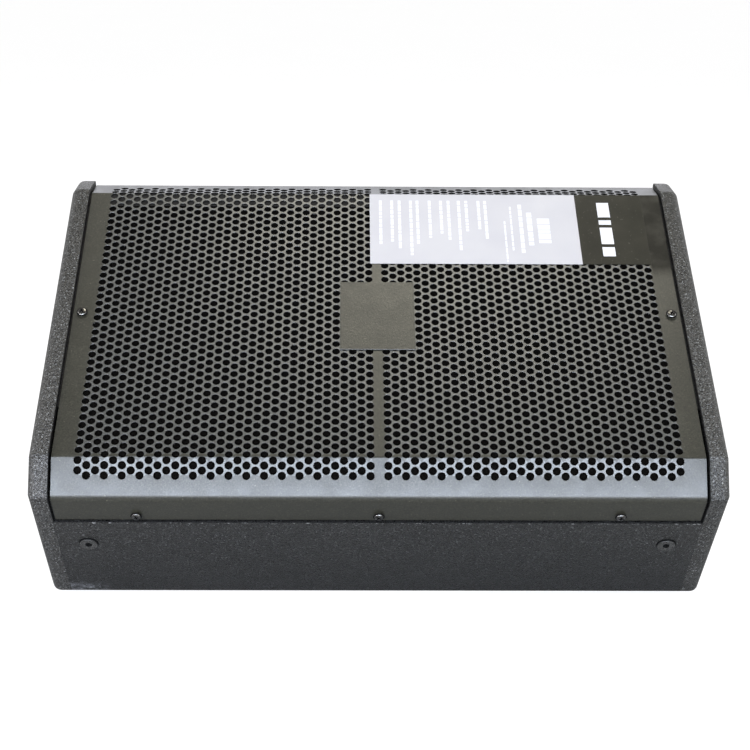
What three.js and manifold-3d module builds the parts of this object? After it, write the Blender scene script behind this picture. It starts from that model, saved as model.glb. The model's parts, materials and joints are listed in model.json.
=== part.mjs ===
// A 12-inch two-way stage monitor wedge: a plywood cabinet with a bent perforated grille, a woofer, a horn
// with its compression driver, a passive crossover, an input plate, a carrying handle and a pole socket.
//
// Millimetres. X runs along the width, -Y is the side that faces the performer, +Z is up, and the origin is
// on the floor below the middle of the bounding box.
//
// Most of the object is drawn in the face frame: x is X, v runs up the grille and w stands out of it, with
// the origin in the middle of the grille's outer surface. The face frame leans back by GRILLE_LEAN.

import * as THREE from "three";
import { mergeVertices } from "three/addons/utils/BufferGeometryUtils.js";
import Module from "manifold-3d";

const wasm = await Module();
wasm.setup();

const RAD = Math.PI / 180;
const GAP = 0.3; // clearance between pieces that touch on the real object
const SEAM = 0.04; // the same at the cabinet's glued joints, which the coating hides

// ---------------------------------------------------------------- driving dimensions

const WIDTH = 603; // over the end panels
const PLY = 18; // birch plywood
const FOOT_HEIGHT = 5;
const GRILLE_LEAN = 34 * RAD; // the grille's slope from the floor

const SHEET = 1.5; // grille steel
const GRILLE_HALF = 159.5; // half the grille's flat main face
const LOWER_BEND = 32.5 * RAD; // below the main face the grille turns down by this much
const UPPER_BEND = 29.5 * RAD;
const LOWER_STRIP = 36.5; // length of the strip between the lower bend and the lower flange
const UPPER_STRIP = 32.4;
const LOWER_FLANGE_END = -51.5; // w of the lower flange's free edge
const UPPER_FLANGE = 33; // length of the flange that runs down the back

const RIM = 4.2; // how far the end panels stand proud of the grille
const FRONT_STEP = 2; // how far the lower flange lies behind the lower front panel
const REAR_STEP = 3; // how far the upper flange lies behind the back
const LOWER_EDGE = -171.1; // w of the edge where the lower front panel meets the floor panel

const EDGE_RADIUS = 8; // rounding of the end panels' outer edges
const CORNER_RADIUS = 5; // rounding of the corners of their outline
const EDGE_STEPS = 5; // flats round an outer edge
const CORNER_STEPS = 3; // and round a corner of the outline

const BAFFLE_FRONT = -24; // w of the baffle's front face
const DRIVER_V = -13; // v of the woofer's and the horn's centres
const WOOFER_X = -108;
const HORN_X = 166;

const SCREW_X = 210.5; // flange screws: one at the middle and one this far to each side
const SIDE_SCREW_X = 273.5;
const SIDE_SCREW_V = 2.9;
const LOWER_SCREW_W = -43;
const RIGGING_X = 257.3;
const RIGGING_W = -87.3;

// ---------------------------------------------------------------- colours

const COLOURS = {
  coating: [0x2b2b2a, 0.75, 0],
  black_ply: [0x1a1918, 0.85, 0],
  grille_paint: [0x4b4a46, 0.4, 0.3],
  foam: [0x121212, 1, 0],
  screw: [0x55544f, 0.35, 0.9],
  label: [0xe2e2e8, 0.5, 0],
  cast_frame: [0x222324, 0.6, 0.6],
  steel: [0x8b8d8f, 0.35, 1],
  magnet: [0x3b3b3d, 0.5, 0.7],
  cone_paper: [0x171717, 0.95, 0],
  coil_copper: [0xb4683a, 0.35, 1],
  cloth: [0x3a3326, 0.95, 0],
  plastic: [0x161616, 0.55, 0],
  rubber: [0x101010, 0.9, 0],
  board: [0x1d4a2c, 0.6, 0],
  lead: [0x7a1616, 0.5, 0],
};

// ---------------------------------------------------------------- the cabinet's side profile, in (v, w)

const along = (from, angle, length) => [
  from[0] + length * Math.cos(angle),
  from[1] + length * Math.sin(angle),
];

// Where the line through p at angle a meets the line through q at angle b.
function meet(p, a, q, b) {
  const [ca, sa, cb, sb] = [Math.cos(a), Math.sin(a), Math.cos(b), Math.sin(b)];
  const t = ((q[0] - p[0]) * sb - (q[1] - p[1]) * cb) / (ca * sb - sa * cb);
  return along(p, a, t);
}

const BACK = -90 * RAD - GRILLE_LEAN + 180 * RAD; // direction of the upright back, upwards
const FLOOR = -GRILLE_LEAN; // direction of the floor face, backwards
const outOfBack = (p, distance) => along(p, FLOOR, distance);

const grilleUpperBend = [GRILLE_HALF, 0];
const grilleLowerBend = [-GRILLE_HALF, 0];
const grilleUpperCorner = along(grilleUpperBend, -UPPER_BEND, UPPER_STRIP);
const grilleLowerCorner = along(grilleLowerBend, 180 * RAD + LOWER_BEND, LOWER_STRIP);

const frontPlane = grilleLowerCorner[0] - FRONT_STEP; // v of the lower front panel's outer face
const rimUpperBend = [GRILLE_HALF + RIM * Math.tan(UPPER_BEND / 2), RIM];
const rimLowerBend = [-GRILLE_HALF - RIM * Math.tan(LOWER_BEND / 2), RIM];
const lowerCorner = meet(rimLowerBend, LOWER_BEND, [frontPlane, 0], 90 * RAD);
const upperCorner = meet(rimUpperBend, -UPPER_BEND, outOfBack(grilleUpperCorner, REAR_STEP), BACK);
const lowerEdge = [frontPlane, LOWER_EDGE];
const rearEdge = meet(lowerEdge, FLOOR, upperCorner, BACK);

const outline = [rimLowerBend, lowerCorner, lowerEdge, rearEdge, upperCorner, rimUpperBend];

// Face frame to the row frame's Y and Z, before the face group's own position.
const turned = ([v, w]) => [
  v * Math.cos(GRILLE_LEAN) - w * Math.sin(GRILLE_LEAN),
  v * Math.sin(GRILLE_LEAN) + w * Math.cos(GRILLE_LEAN),
];
// The rounding takes a little off the lower corner, so the box's middle lies behind the middle of the edges.
const roundedOutline = rounded(outline, CORNER_RADIUS, CORNER_STEPS);
const roundedFront = Math.min(...roundedOutline.map((p) => turned(p)[0]));
const FACE_Y = -(roundedFront + turned(rearEdge)[0]) / 2;
const FACE_Z = FOOT_HEIGHT - turned(lowerEdge)[1];
const BACK_Y = FACE_Y + turned(rearEdge)[0];

// ---------------------------------------------------------------- geometry helpers

// A closed polygon in the (y, z) plane, extruded along x from x0 to x1.
function prismX(points, x0, x1) {
  const shape = new THREE.Shape(points.map(([y, z]) => new THREE.Vector2(y, z)));
  const g = new THREE.ExtrudeGeometry(shape, { depth: x1 - x0, bevelEnabled: false });
  const yzx = new THREE.Matrix4().set(0, 0, 1, 0, 1, 0, 0, 0, 0, 1, 0, 0, 0, 0, 0, 1);
  return g.applyMatrix4(yzx).translate(x0, 0, 0);
}

function box(x0, x1, y0, y1, z0, z1) {
  const g = new THREE.BoxGeometry(x1 - x0, y1 - y0, z1 - z0);
  return g.translate((x0 + x1) / 2, (y0 + y1) / 2, (z0 + z1) / 2);
}

// A solid of revolution about z from [radius, z] points, given anticlockwise from the axis outwards.
function turnedZ(profile, segments) {
  const points = profile.map(([r, z]) => new THREE.Vector2(r, z));
  return new THREE.LatheGeometry(points, segments).rotateX(Math.PI / 2);
}

// The same, closed on itself, for a ring.
function ringZ(profile, segments) {
  return turnedZ([...profile, profile[0]], segments);
}

const bar = (radius, z0, z1, segments) =>
  turnedZ([[0, z0], [radius, z0], [radius, z1], [0, z1]], segments);

// Quads between sections that all have the same number of points. An open loft has a fan of triangles over
// each end, and a closed one runs back into its first section.
function loft(sections, closed = false) {
  const n = sections[0].length;
  const rows = closed ? [...sections, sections[0]] : sections;
  const position = [];
  const face = (a, b, c) => position.push(...a, ...b, ...c);
  for (let r = 0; r + 1 < rows.length; r++)
    for (let i = 0; i < n; i++) {
      const j = (i + 1) % n;
      face(rows[r][i], rows[r][j], rows[r + 1][j]);
      face(rows[r][i], rows[r + 1][j], rows[r + 1][i]);
    }
  if (!closed)
    for (const [ring, first] of [[rows[0], true], [rows.at(-1), false]]) {
      const middle = [0, 1, 2].map((k) => ring.reduce((sum, p) => sum + p[k], 0) / n);
      for (let i = 0; i < n; i++) {
        const j = (i + 1) % n;
        if (first) face(ring[j], ring[i], middle);
        else face(ring[i], ring[j], middle);
      }
    }
  const g = new THREE.BufferGeometry();
  g.setAttribute("position", new THREE.Float32BufferAttribute(position, 3));
  return g;
}

// A rounded rectangle at height z, anticlockwise, with two points on each corner's arc or more.
function roundedRect(halfX, halfY, radius, z, perCorner = 3) {
  const points = [];
  for (let corner = 0; corner < 4; corner++) {
    const cx = (halfX - radius) * (corner === 0 || corner === 3 ? 1 : -1);
    const cy = (halfY - radius) * (corner < 2 ? 1 : -1);
    for (let i = 0; i < perCorner; i++) {
      const a = (corner + i / (perCorner - 1)) * 90 * RAD;
      points.push([cx + radius * Math.cos(a), cy + radius * Math.sin(a), z]);
    }
  }
  return points;
}

// A convex polygon's edges moved inwards by distance. Points run clockwise in (v, w) as outline does.
function inset(points, distance) {
  const n = points.length;
  const angle = (p, q) => Math.atan2(q[1] - p[1], q[0] - p[0]);
  const side = Math.sign(
    points.reduce((s, p, i) => s + p[0] * points[(i + 1) % n][1] - points[(i + 1) % n][0] * p[1], 0),
  );
  return points.map((p, i) => {
    const before = angle(points[(i + n - 1) % n], p);
    const after = angle(p, points[(i + 1) % n]);
    const shift = (a) => along(p, a + side * 90 * RAD, distance);
    return meet(shift(before), before, shift(after), after);
  });
}

// Corners of a polygon turned into short arcs of the given radius.
function rounded(points, radius, steps) {
  const n = points.length;
  return points.flatMap((p, i) => {
    const from = points[(i + n - 1) % n];
    const to = points[(i + 1) % n];
    const a = Math.atan2(p[1] - from[1], p[0] - from[0]);
    const b = Math.atan2(to[1] - p[1], to[0] - p[0]);
    const turn = Math.atan2(Math.sin(b - a), Math.cos(b - a));
    const reach = radius * Math.abs(Math.tan(turn / 2));
    const start = along(p, a, -reach);
    const centre = along(start, a + Math.sign(turn) * 90 * RAD, radius);
    return Array.from({ length: steps + 1 }, (_, k) =>
      along(centre, a - Math.sign(turn) * 90 * RAD + (turn * k) / steps, radius),
    );
  });
}

function solid(geometry) {
  const bare = geometry.clone();
  for (const name of Object.keys(bare.attributes))
    if (name !== "position") bare.deleteAttribute(name);
  const merged = mergeVertices(bare, 1e-3);
  return new wasm.Manifold(
    new wasm.Mesh({
      numProp: 3,
      vertProperties: new Float32Array(merged.attributes.position.array),
      triVerts: new Uint32Array(merged.index.array),
    }),
  );
}

function meshed(body) {
  const made = body.getMesh();
  const g = new THREE.BufferGeometry();
  g.setAttribute("position", new THREE.BufferAttribute(made.vertProperties, 3));
  g.setIndex(new THREE.BufferAttribute(made.triVerts, 1));
  return g;
}

const cut = (geometry, ...tools) =>
  meshed(tools.reduce((left, tool) => left.subtract(solid(tool)), solid(geometry)));

const join = (first, ...others) =>
  meshed(others.reduce((sum, other) => sum.add(solid(other)), solid(first)));

// ---------------------------------------------------------------- the scene graph

const monitor = new THREE.Group();
const face = new THREE.Group(); // the face frame
face.rotation.x = GRILLE_LEAN;
face.position.set(0, FACE_Y, FACE_Z);
monitor.add(face);

function piece(parent, name, geometry, colour) {
  const [hex, roughness, metalness] = COLOURS[colour];
  const mesh = new THREE.Mesh(
    geometry,
    new THREE.MeshStandardMaterial({ color: hex, roughness, metalness }),
  );
  mesh.name = name;
  parent.add(mesh);
  return mesh;
}

const sides = { left: -1, right: 1 };

// A tool set at (x, v, w) in the face frame. Its z points along w, or out of the lower front panel, or out
// of the back.
const placed = (geometry, x, v, w, tilt = 0) => geometry.rotateX(tilt).translate(x, v, w);
const OUT_OF_FRONT = 90 * RAD;
const OUT_OF_BACK = -90 * RAD - GRILLE_LEAN;

// ---------------------------------------------------------------- cabinet panels

const INNER_X = WIDTH / 2 - PLY;

// The pole socket sits in the left end panel, near the balance point, and the handle in the right one.
const POLE = { v: -13, w: -168, tube: 21, bore: 17.9, depth: 82, flange: 42 };
const HANDLE = { v: -30, w: -118, halfV: 78, halfW: 44, flange: 9, depth: 52, corner: 16, grip: 11 };
const FLANGE = 2; // thickness of the handle's and the socket's flanges

function endPanel(side) {
  const layer = (x, distance) => {
    const corner = Math.max(CORNER_RADIUS - distance, 1);
    const points = rounded(inset(outline, distance), corner, CORNER_STEPS);
    return points.map(([v, w]) => [side * x, v, w]);
  };
  const steps = Array.from({ length: EDGE_STEPS + 1 }, (_, k) => (k / EDGE_STEPS) * 90 * RAD);
  const sections = [
    layer(INNER_X, 0),
    ...steps.map((a) =>
      layer(WIDTH / 2 - EDGE_RADIUS * (1 - Math.sin(a)), EDGE_RADIUS * (1 - Math.cos(a))),
    ),
  ];
  const order = side < 0 ? sections.map((s) => [...s].reverse()) : sections;
  return loft(order);
}

// Both flanges lie flush in a rebate, FLANGE deep.
const socketCut = turnedZ(
  [
    [0, -PLY - 1],
    [POLE.tube + GAP, -PLY - 1],
    [POLE.tube + GAP, -FLANGE - GAP],
    [POLE.flange + GAP, -FLANGE - GAP],
    [POLE.flange + GAP, 1],
    [0, 1],
  ],
  32,
).rotateY(-90 * RAD).translate(-WIDTH / 2, POLE.v, POLE.w);
const handleRing = (inwards, z) =>
  roundedRect(HANDLE.halfV - inwards, HANDLE.halfW - inwards, HANDLE.corner - inwards / 2, z, 4);
const handleCut = loft([
  handleRing(HANDLE.flange - GAP, -PLY - 1),
  handleRing(HANDLE.flange - GAP, -FLANGE - GAP),
  handleRing(-GAP, -FLANGE - GAP),
  handleRing(-GAP, 1),
]).rotateZ(90 * RAD).rotateY(90 * RAD).translate(WIDTH / 2, HANDLE.v, HANDLE.w);

piece(face, "end_panel_left", cut(endPanel(-1), socketCut), "coating");
piece(face, "end_panel_right", cut(endPanel(1), handleCut), "coating");

// The panels between the end panels are mitred where they meet.
const inner = inset(outline, PLY);
const [, , innerLowerEdge, innerRearEdge] = inner;
const mitre = (p, angle) => along(p, angle, SEAM);
const PANEL_X = INNER_X - SEAM;

// A panel with its outer edges rounded like the end panels' outline.
const withinOutline = (panel) => meshed(
  solid(panel).intersect(solid(prismX(roundedOutline, -WIDTH / 2, WIDTH / 2))),
);

const SCREW = { head: 5, height: 2.6, shank: 1.9, length: 9, hole: 2.3 };
const screwHole = () => bar(SCREW.hole, -SCREW.length - 1, 1, 10);

// M10 plug in a rigging insert: a flat head flush with the panel and a hexagon socket.
const PLUG = { head: 8.4, thick: 3, shank: 5, length: 24, socket: 3.5, socketDepth: 6, gap: 0.45, sunk: 0.2 };
const plugHole = () =>
  turnedZ(
    [
      [0, -PLUG.length - 1],
      [PLUG.shank + PLUG.gap, -PLUG.length - 1],
      [PLUG.shank + PLUG.gap, -PLUG.thick - PLUG.gap],
      [PLUG.head + PLUG.gap, -PLUG.thick - PLUG.gap],
      [PLUG.head + PLUG.gap, 1],
      [0, 1],
    ],
    20,
  );

const FLANGE_SEAT = grilleLowerCorner[0] + SHEET + GAP; // v of the rebate that the lower flange lies in
const REVEAL = 1.2; // open line between the lower flange's edge and the ledge below it
const REBATE_END = LOWER_FLANGE_END - REVEAL; // w of that ledge

function lowerFrontPanel() {
  const blank = prismX(
    [
      [FLANGE_SEAT, BAFFLE_FRONT],
      [FLANGE_SEAT, REBATE_END],
      [frontPlane, REBATE_END],
      mitre(lowerEdge, 90 * RAD),
      mitre(innerLowerEdge, 90 * RAD),
      [frontPlane + PLY, BAFFLE_FRONT],
    ],
    -PANEL_X,
    PANEL_X,
  );
  const holes = [-SCREW_X, 0, SCREW_X].map((x) =>
    placed(screwHole(), x, FLANGE_SEAT, LOWER_SCREW_W, OUT_OF_FRONT),
  );
  const inserts = [-RIGGING_X, RIGGING_X].map((x) =>
    placed(plugHole(), x, frontPlane, RIGGING_W, OUT_OF_FRONT),
  );
  return cut(withinOutline(blank), ...holes, ...inserts);
}
piece(face, "lower_front_panel", lowerFrontPanel(), "coating");

piece(
  face,
  "floor_panel",
  withinOutline(
    prismX(
      [
        mitre(lowerEdge, FLOOR),
        mitre(rearEdge, FLOOR + Math.PI),
        mitre(innerRearEdge, FLOOR + Math.PI),
        mitre(innerLowerEdge, FLOOR),
      ],
      -PANEL_X,
      PANEL_X,
    ),
  ),
  "coating",
);

// The back has a rebate along its top for the grille's upper flange, and a window for the input plate.
// The plate's flange lies SINK below the back, so that its screws don't stand proud.
const PLATE = { x: 0, z: 100, halfX: 92, halfZ: 52, flange: 13, depth: 30, corner: 8, thick: 2 };
const SINK = 3;
const PLATE_SCREWS = [[-1, -1], [-1, 1], [1, -1], [1, 1]].map(([a, b]) => [
  a * (PLATE.halfX - 6.5),
  b * (PLATE.halfZ - 6.5),
]);
const flangeSeat = outOfBack(grilleUpperCorner, -SHEET - GAP);
const upperRebateEnd = along(upperCorner, BACK, -UPPER_FLANGE - 9);
const UPPER_SCREW = along(grilleUpperCorner, BACK, -UPPER_FLANGE + 8);

function rearPanel() {
  const seat = meet(flangeSeat, BACK, upperRebateEnd, FLOOR);
  const underStrip = along(grilleUpperCorner, 90 * RAD - UPPER_BEND, -SHEET - GAP - 1);
  const blank = prismX(
    [
      mitre(rearEdge, BACK),
      upperRebateEnd,
      seat,
      meet(seat, BACK, underStrip, -UPPER_BEND),
      meet(innerRearEdge, BACK, underStrip, -UPPER_BEND),
      mitre(innerRearEdge, BACK),
    ],
    -PANEL_X,
    PANEL_X,
  );
  const holes = [-SCREW_X, 0, SCREW_X].map((x) =>
    placed(screwHole(), x, ...outOfBack(UPPER_SCREW, -SHEET - GAP), OUT_OF_BACK),
  );
  const onBack = (z) => along(rearEdge, BACK, z - FOOT_HEIGHT);
  const window = (halfX, halfZ, from, to) =>
    placed(
      loft([roundedRect(halfX, halfZ, PLATE.corner, from), roundedRect(halfX, halfZ, PLATE.corner, to)]),
      PLATE.x,
      ...onBack(PLATE.z),
      OUT_OF_BACK,
    );
  const plateHoles = PLATE_SCREWS.map(([x, z]) =>
    placed(screwHole().translate(x, z, -SINK), PLATE.x, ...onBack(PLATE.z), OUT_OF_BACK),
  );
  return cut(
    withinOutline(blank),
    ...holes,
    ...plateHoles,
    window(PLATE.halfX + 0.5, PLATE.halfZ + 0.5, -SINK - PLATE.thick - GAP, 1),
    window(PLATE.halfX - PLATE.flange + 1, PLATE.halfZ - PLATE.flange + 1, -PLY - 2, 1),
  );
}
piece(face, "rear_panel", rearPanel(), "coating");

// ---------------------------------------------------------------- baffle, battens and brace

const WOOFER = { flange: 155.5, cutout: 141.5, screwCircle: 148 };
const HORN = { half: 98, cutHalf: 88 };
const PORT = { x: [35, 233], v: -142, inner: 22, outer: 25, length: 66, lip: 28, lipThick: 3 };
const BAFFLE_BACK = BAFFLE_FRONT - PLY;
const baffleTop = meet([0, BAFFLE_BACK], 0, innerRearEdge, BACK)[0] - GAP;
const baffleBottom = frontPlane + PLY + GAP;

function baffle() {
  const blank = box(-PANEL_X, PANEL_X, baffleBottom, baffleTop, BAFFLE_BACK, BAFFLE_FRONT - GAP);
  const hole = (r, x, v, n) => bar(r, BAFFLE_BACK - 1, BAFFLE_FRONT + 1, n).translate(x, v, 0);
  const hornHole = loft([
    roundedRect(HORN.cutHalf, HORN.cutHalf, 12, BAFFLE_BACK - 1),
    roundedRect(HORN.cutHalf, HORN.cutHalf, 12, BAFFLE_FRONT + 1),
  ]).translate(HORN_X, DRIVER_V, 0);
  return cut(
    blank,
    hole(WOOFER.cutout, WOOFER_X, DRIVER_V, 36),
    hornHole,
    ...PORT.x.map((x) => hole(PORT.outer + 0.6, x, PORT.v, 24)),
  );
}
piece(face, "baffle", baffle(), "black_ply");

const SUPPORT = -SHEET - GAP; // w of the wood that the grille lies on
const BATTEN = 16;
const BATTEN_V = [-105, 143.7];
const RAIL_V = 144; // v of the top rail's lower face
for (const [side, s] of Object.entries(sides)) {
  const x = [s * (PANEL_X - BATTEN), s * PANEL_X].sort((a, b) => a - b);
  const hole = placed(bar(SCREW.hole, -SCREW.length - 3, 1, 10), s * SIDE_SCREW_X, SIDE_SCREW_V, SUPPORT);
  const blank = box(...x, BATTEN_V[0], BATTEN_V[1], BAFFLE_FRONT, SUPPORT);
  piece(face, "grille_batten_" + side, cut(blank, hole), "black_ply");
}

const railBack = (w) => meet([0, w], 0, innerRearEdge, BACK)[0] - GAP;
const underUpper = along(grilleUpperBend, 90 * RAD - UPPER_BEND, SUPPORT);
const railTop = meet([railBack(0), 0], BACK, underUpper, -UPPER_BEND);
piece(
  face,
  "top_rail",
  prismX(
    [
      [RAIL_V, BAFFLE_FRONT],
      [railBack(BAFFLE_FRONT), BAFFLE_FRONT],
      railTop,
      [GRILLE_HALF - 1, SUPPORT],
      [RAIL_V, SUPPORT],
    ],
    -PANEL_X,
    PANEL_X,
  ),
  "black_ply",
);

// ---------------------------------------------------------------- grille

// The grille's section, as its outer line and the same line one sheet further in.
const backFlangeEnd = along(grilleUpperCorner, BACK, -UPPER_FLANGE);
const sectionOuter = [
  [grilleLowerCorner[0], LOWER_FLANGE_END],
  grilleLowerCorner,
  grilleLowerBend,
  grilleUpperBend,
  grilleUpperCorner,
  backFlangeEnd,
];

// Each point of an open line moved to its right-hand side, mitred at the corners.
function offsetLine(points, distance) {
  const angle = (i) =>
    Math.atan2(points[i + 1][1] - points[i][1], points[i + 1][0] - points[i][0]);
  const last = points.length - 1;
  return points.map((p, i) => {
    const before = angle(Math.max(i - 1, 0));
    const after = angle(Math.min(i, last - 1));
    const a = along(p, before - 90 * RAD, distance);
    const b = along(p, after - 90 * RAD, distance);
    return i === 0 || i === last ? a : meet(a, before, b, after);
  });
}

const SIDE_GAP = 1.8; // between the grille and each end panel
const GRILLE_X = INNER_X - SIDE_GAP;
const sheetHole = () => bar(2.8, -3, 3, 10);
const grilleSheet = prismX(
  [...sectionOuter, ...offsetLine(sectionOuter, SHEET).reverse()],
  -GRILLE_X,
  GRILLE_X,
);
piece(
  face,
  "grille",
  cut(
    grilleSheet,
    ...[-SCREW_X, 0, SCREW_X].flatMap((x) => [
      placed(sheetHole(), x, grilleLowerCorner[0], LOWER_SCREW_W, OUT_OF_FRONT),
      placed(sheetHole(), x, ...UPPER_SCREW, OUT_OF_BACK),
    ]),
    ...[-SIDE_SCREW_X, SIDE_SCREW_X].map((x) => placed(sheetHole(), x, SIDE_SCREW_V, 0)),
  ),
  "grille_paint",
);

const FOAM = 5;
const foamLine = [
  along(grilleLowerBend, 180 * RAD + LOWER_BEND, 24),
  grilleLowerBend,
  [BATTEN_V[1], 0],
];
piece(
  face,
  "grille_foam",
  prismX(
    [...offsetLine(foamLine, SHEET + GAP), ...offsetLine(foamLine, SHEET + GAP + FOAM).reverse()],
    -PANEL_X + BATTEN + GAP,
    PANEL_X - BATTEN - GAP,
  ),
  "foam",
);

// A blank plate in the middle of the grille, and a printed film label on its upper right.
const BADGE = { halfX: 34.3, halfV: 41, thick: 1 };
const LABEL = { x: [-6, 263.3], v: [65.5, 158.8], thick: 0.4 };
piece(
  face,
  "badge_plate",
  box(-BADGE.halfX, BADGE.halfX, -BADGE.halfV, BADGE.halfV, GAP, GAP + BADGE.thick),
  "grille_paint",
);
piece(face, "spec_label", box(...LABEL.x, ...LABEL.v, GAP, GAP + LABEL.thick), "label");

// ---------------------------------------------------------------- fasteners

// Pan-head screw, its head's underside at z = 0.
function screw() {
  return turnedZ(
    [
      [0, -SCREW.length],
      [SCREW.shank, -SCREW.length + 2],
      [SCREW.shank, 0],
      [SCREW.head, 0],
      [SCREW.head * 0.86, SCREW.height * 0.65],
      [0, SCREW.height],
    ],
    12,
  );
}

function plug() {
  const body = turnedZ(
    [
      [0, -PLUG.length],
      [PLUG.shank, -PLUG.length],
      [PLUG.shank, -PLUG.thick],
      [PLUG.head, -PLUG.thick],
      [PLUG.head, -PLUG.sunk],
      [0, -PLUG.sunk],
    ],
    20,
  );
  return cut(body, bar(PLUG.socket, -PLUG.socketDepth, 1, 6).rotateZ(30 * RAD));
}

const acrossX = { left: -SCREW_X, middle: 0, right: SCREW_X };
for (const [where, x] of Object.entries(acrossX)) {
  const low = piece(face, "grille_screw_lower_" + where, screw(), "screw");
  low.position.set(x, grilleLowerCorner[0] - GAP, LOWER_SCREW_W);
  low.rotation.x = OUT_OF_FRONT;
  const high = piece(face, "grille_screw_upper_" + where, screw(), "screw");
  high.position.set(x, ...outOfBack(UPPER_SCREW, GAP));
  high.rotation.x = OUT_OF_BACK;
}
for (const [side, s] of Object.entries(sides)) {
  piece(face, "grille_screw_side_" + side, screw(), "screw").position.set(s * SIDE_SCREW_X, SIDE_SCREW_V, GAP);
  const front = piece(face, "rigging_plug_front_" + side, plug(), "screw");
  front.position.set(s * RIGGING_X, frontPlane, RIGGING_W);
  front.rotation.x = OUT_OF_FRONT;
}

// ---------------------------------------------------------------- woofer, about its own axis

const woofer = new THREE.Group();
woofer.position.set(WOOFER_X, DRIVER_V, BAFFLE_FRONT);
face.add(woofer);

const ROUND = 32; // segments of the woofer's round parts
const COIL = 38; // voice coil radius
const MOTOR_FRONT = -82; // z of the motor's front face, from the baffle's front face
const TOP_PLATE = 8;
const MAGNET = 16;
const BACK_PLATE = 9;
const MOTOR_R = 72;

function basket() {
  const shell = ringZ(
    [
      [140, -2.6 - GAP],
      [140, 0],
      [WOOFER.flange, 0],
      [WOOFER.flange, 7],
      [141, 7],
      [141, 1],
      [134, 1],
      [128, -10],
      [80, -58],
      [80, -76],
      [45, -76],
      [45, MOTOR_FRONT + GAP],
      [84, MOTOR_FRONT + GAP],
      [84, -60],
      [132, -12],
      [138, -2.6 - GAP],
    ],
    ROUND,
  );
  const windows = Array.from({ length: 6 }, (_, i) =>
    box(84, 122, -26, 26, -70, -20).rotateZ((i * 60 + 30) * RAD),
  );
  return cut(shell, ...windows);
}
piece(woofer, "woofer_basket", basket(), "cast_frame");

piece(
  woofer,
  "woofer_top_plate",
  ringZ(
    [[39.6, MOTOR_FRONT - TOP_PLATE], [MOTOR_R + 4, MOTOR_FRONT - TOP_PLATE], [MOTOR_R + 4, MOTOR_FRONT],
     [39.6, MOTOR_FRONT]],
    ROUND,
  ),
  "steel",
);
const magnetFront = MOTOR_FRONT - TOP_PLATE - GAP;
piece(
  woofer,
  "woofer_magnet",
  ringZ(
    [[46, magnetFront - MAGNET], [MOTOR_R, magnetFront - MAGNET], [MOTOR_R, magnetFront],
     [46, magnetFront]],
    ROUND,
  ),
  "magnet",
);
const backFront = magnetFront - MAGNET - GAP;
piece(
  woofer,
  "woofer_pole_piece",
  ringZ(
    [
      [12, backFront - BACK_PLATE],
      [MOTOR_R - 2, backFront - BACK_PLATE],
      [MOTOR_R, backFront - 3],
      [MOTOR_R, backFront],
      [36.4, backFront],
      [36.4, MOTOR_FRONT + 2],
      [12, MOTOR_FRONT + 2],
    ],
    ROUND,
  ),
  "steel",
);

// The moving parts: cone, dust cap and voice coil. The surround and the spider bend with them.
piece(
  woofer,
  "woofer_cone",
  ringZ(
    [[39.2, -42], [90, -17], [123, 1.4], [123, 2.6], [89, -15.6], [39.2, -40.4]],
    ROUND,
  ),
  "cone_paper",
);
piece(
  woofer,
  "woofer_dust_cap",
  turnedZ(
    [[0, -24], [20, -27], [38, -33.8], [47, -35.6], [47, -34.4], [38, -32.4], [20, -25.4], [0, -22.4]],
    24,
  ),
  "cone_paper",
);
piece(
  woofer,
  "woofer_voice_coil",
  ringZ([[COIL - 0.5, -98], [COIL + 0.7, -98], [COIL + 0.7, -40], [COIL - 0.5, -40]], ROUND),
  "coil_copper",
);
const roll = Array.from({ length: 7 }, (_, i) => {
  const a = (1 - i / 6) * Math.PI;
  return [132 + 8.2 * Math.cos(a), 2.6 + 8.2 * Math.sin(a)];
});
const rollInside = roll.map(([r, z]) => [132 + (r - 132) * 0.85, 2.6 + (z - 2.6) * 0.85 - 0.6]);
piece(
  woofer,
  "woofer_surround",
  ringZ(
    [...rollInside.slice(1, -1), [139, 2.0], [140.6, 2.0], ...[...roll].reverse().slice(1, -1), [123.6, 3.1],
     [123.6, 2.0], [125, 2.0]],
    ROUND,
  ),
  "rubber",
);
const SPIDER = { inner: 39.2, outer: 79, z: -64, wave: 1.6, rolls: 4 };
const spiderLine = Array.from({ length: 2 * SPIDER.rolls + 1 }, (_, i) => [
  SPIDER.inner + ((SPIDER.outer - SPIDER.inner) * i) / (2 * SPIDER.rolls),
  SPIDER.z + (i % 2 ? SPIDER.wave : -SPIDER.wave),
]);
piece(
  woofer,
  "woofer_spider",
  ringZ([...spiderLine, ...spiderLine.map(([r, z]) => [r, z + 0.8]).reverse()], 24),
  "cloth",
);

// ---------------------------------------------------------------- ports

PORT.x.forEach((x, i) => {
  const tube = ringZ(
    [
      [PORT.inner, -PORT.length],
      [PORT.outer, -PORT.length],
      [PORT.outer, GAP],
      [PORT.lip, GAP],
      [PORT.lip, PORT.lipThick],
      [PORT.inner + 3, PORT.lipThick],
      [PORT.inner, -4],
    ],
    24,
  );
  const port = piece(face, "port_tube_" + (i + 1), tube, "plastic");
  port.position.set(x, PORT.v, BAFFLE_FRONT);
});

// ---------------------------------------------------------------- horn and compression driver

const horn = new THREE.Group();
horn.position.set(HORN_X, DRIVER_V, BAFFLE_FRONT);
face.add(horn);

const THROAT = 12.7;
const HORN_DEPTH = 84;
const HORN_SIDES = 32;

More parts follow.
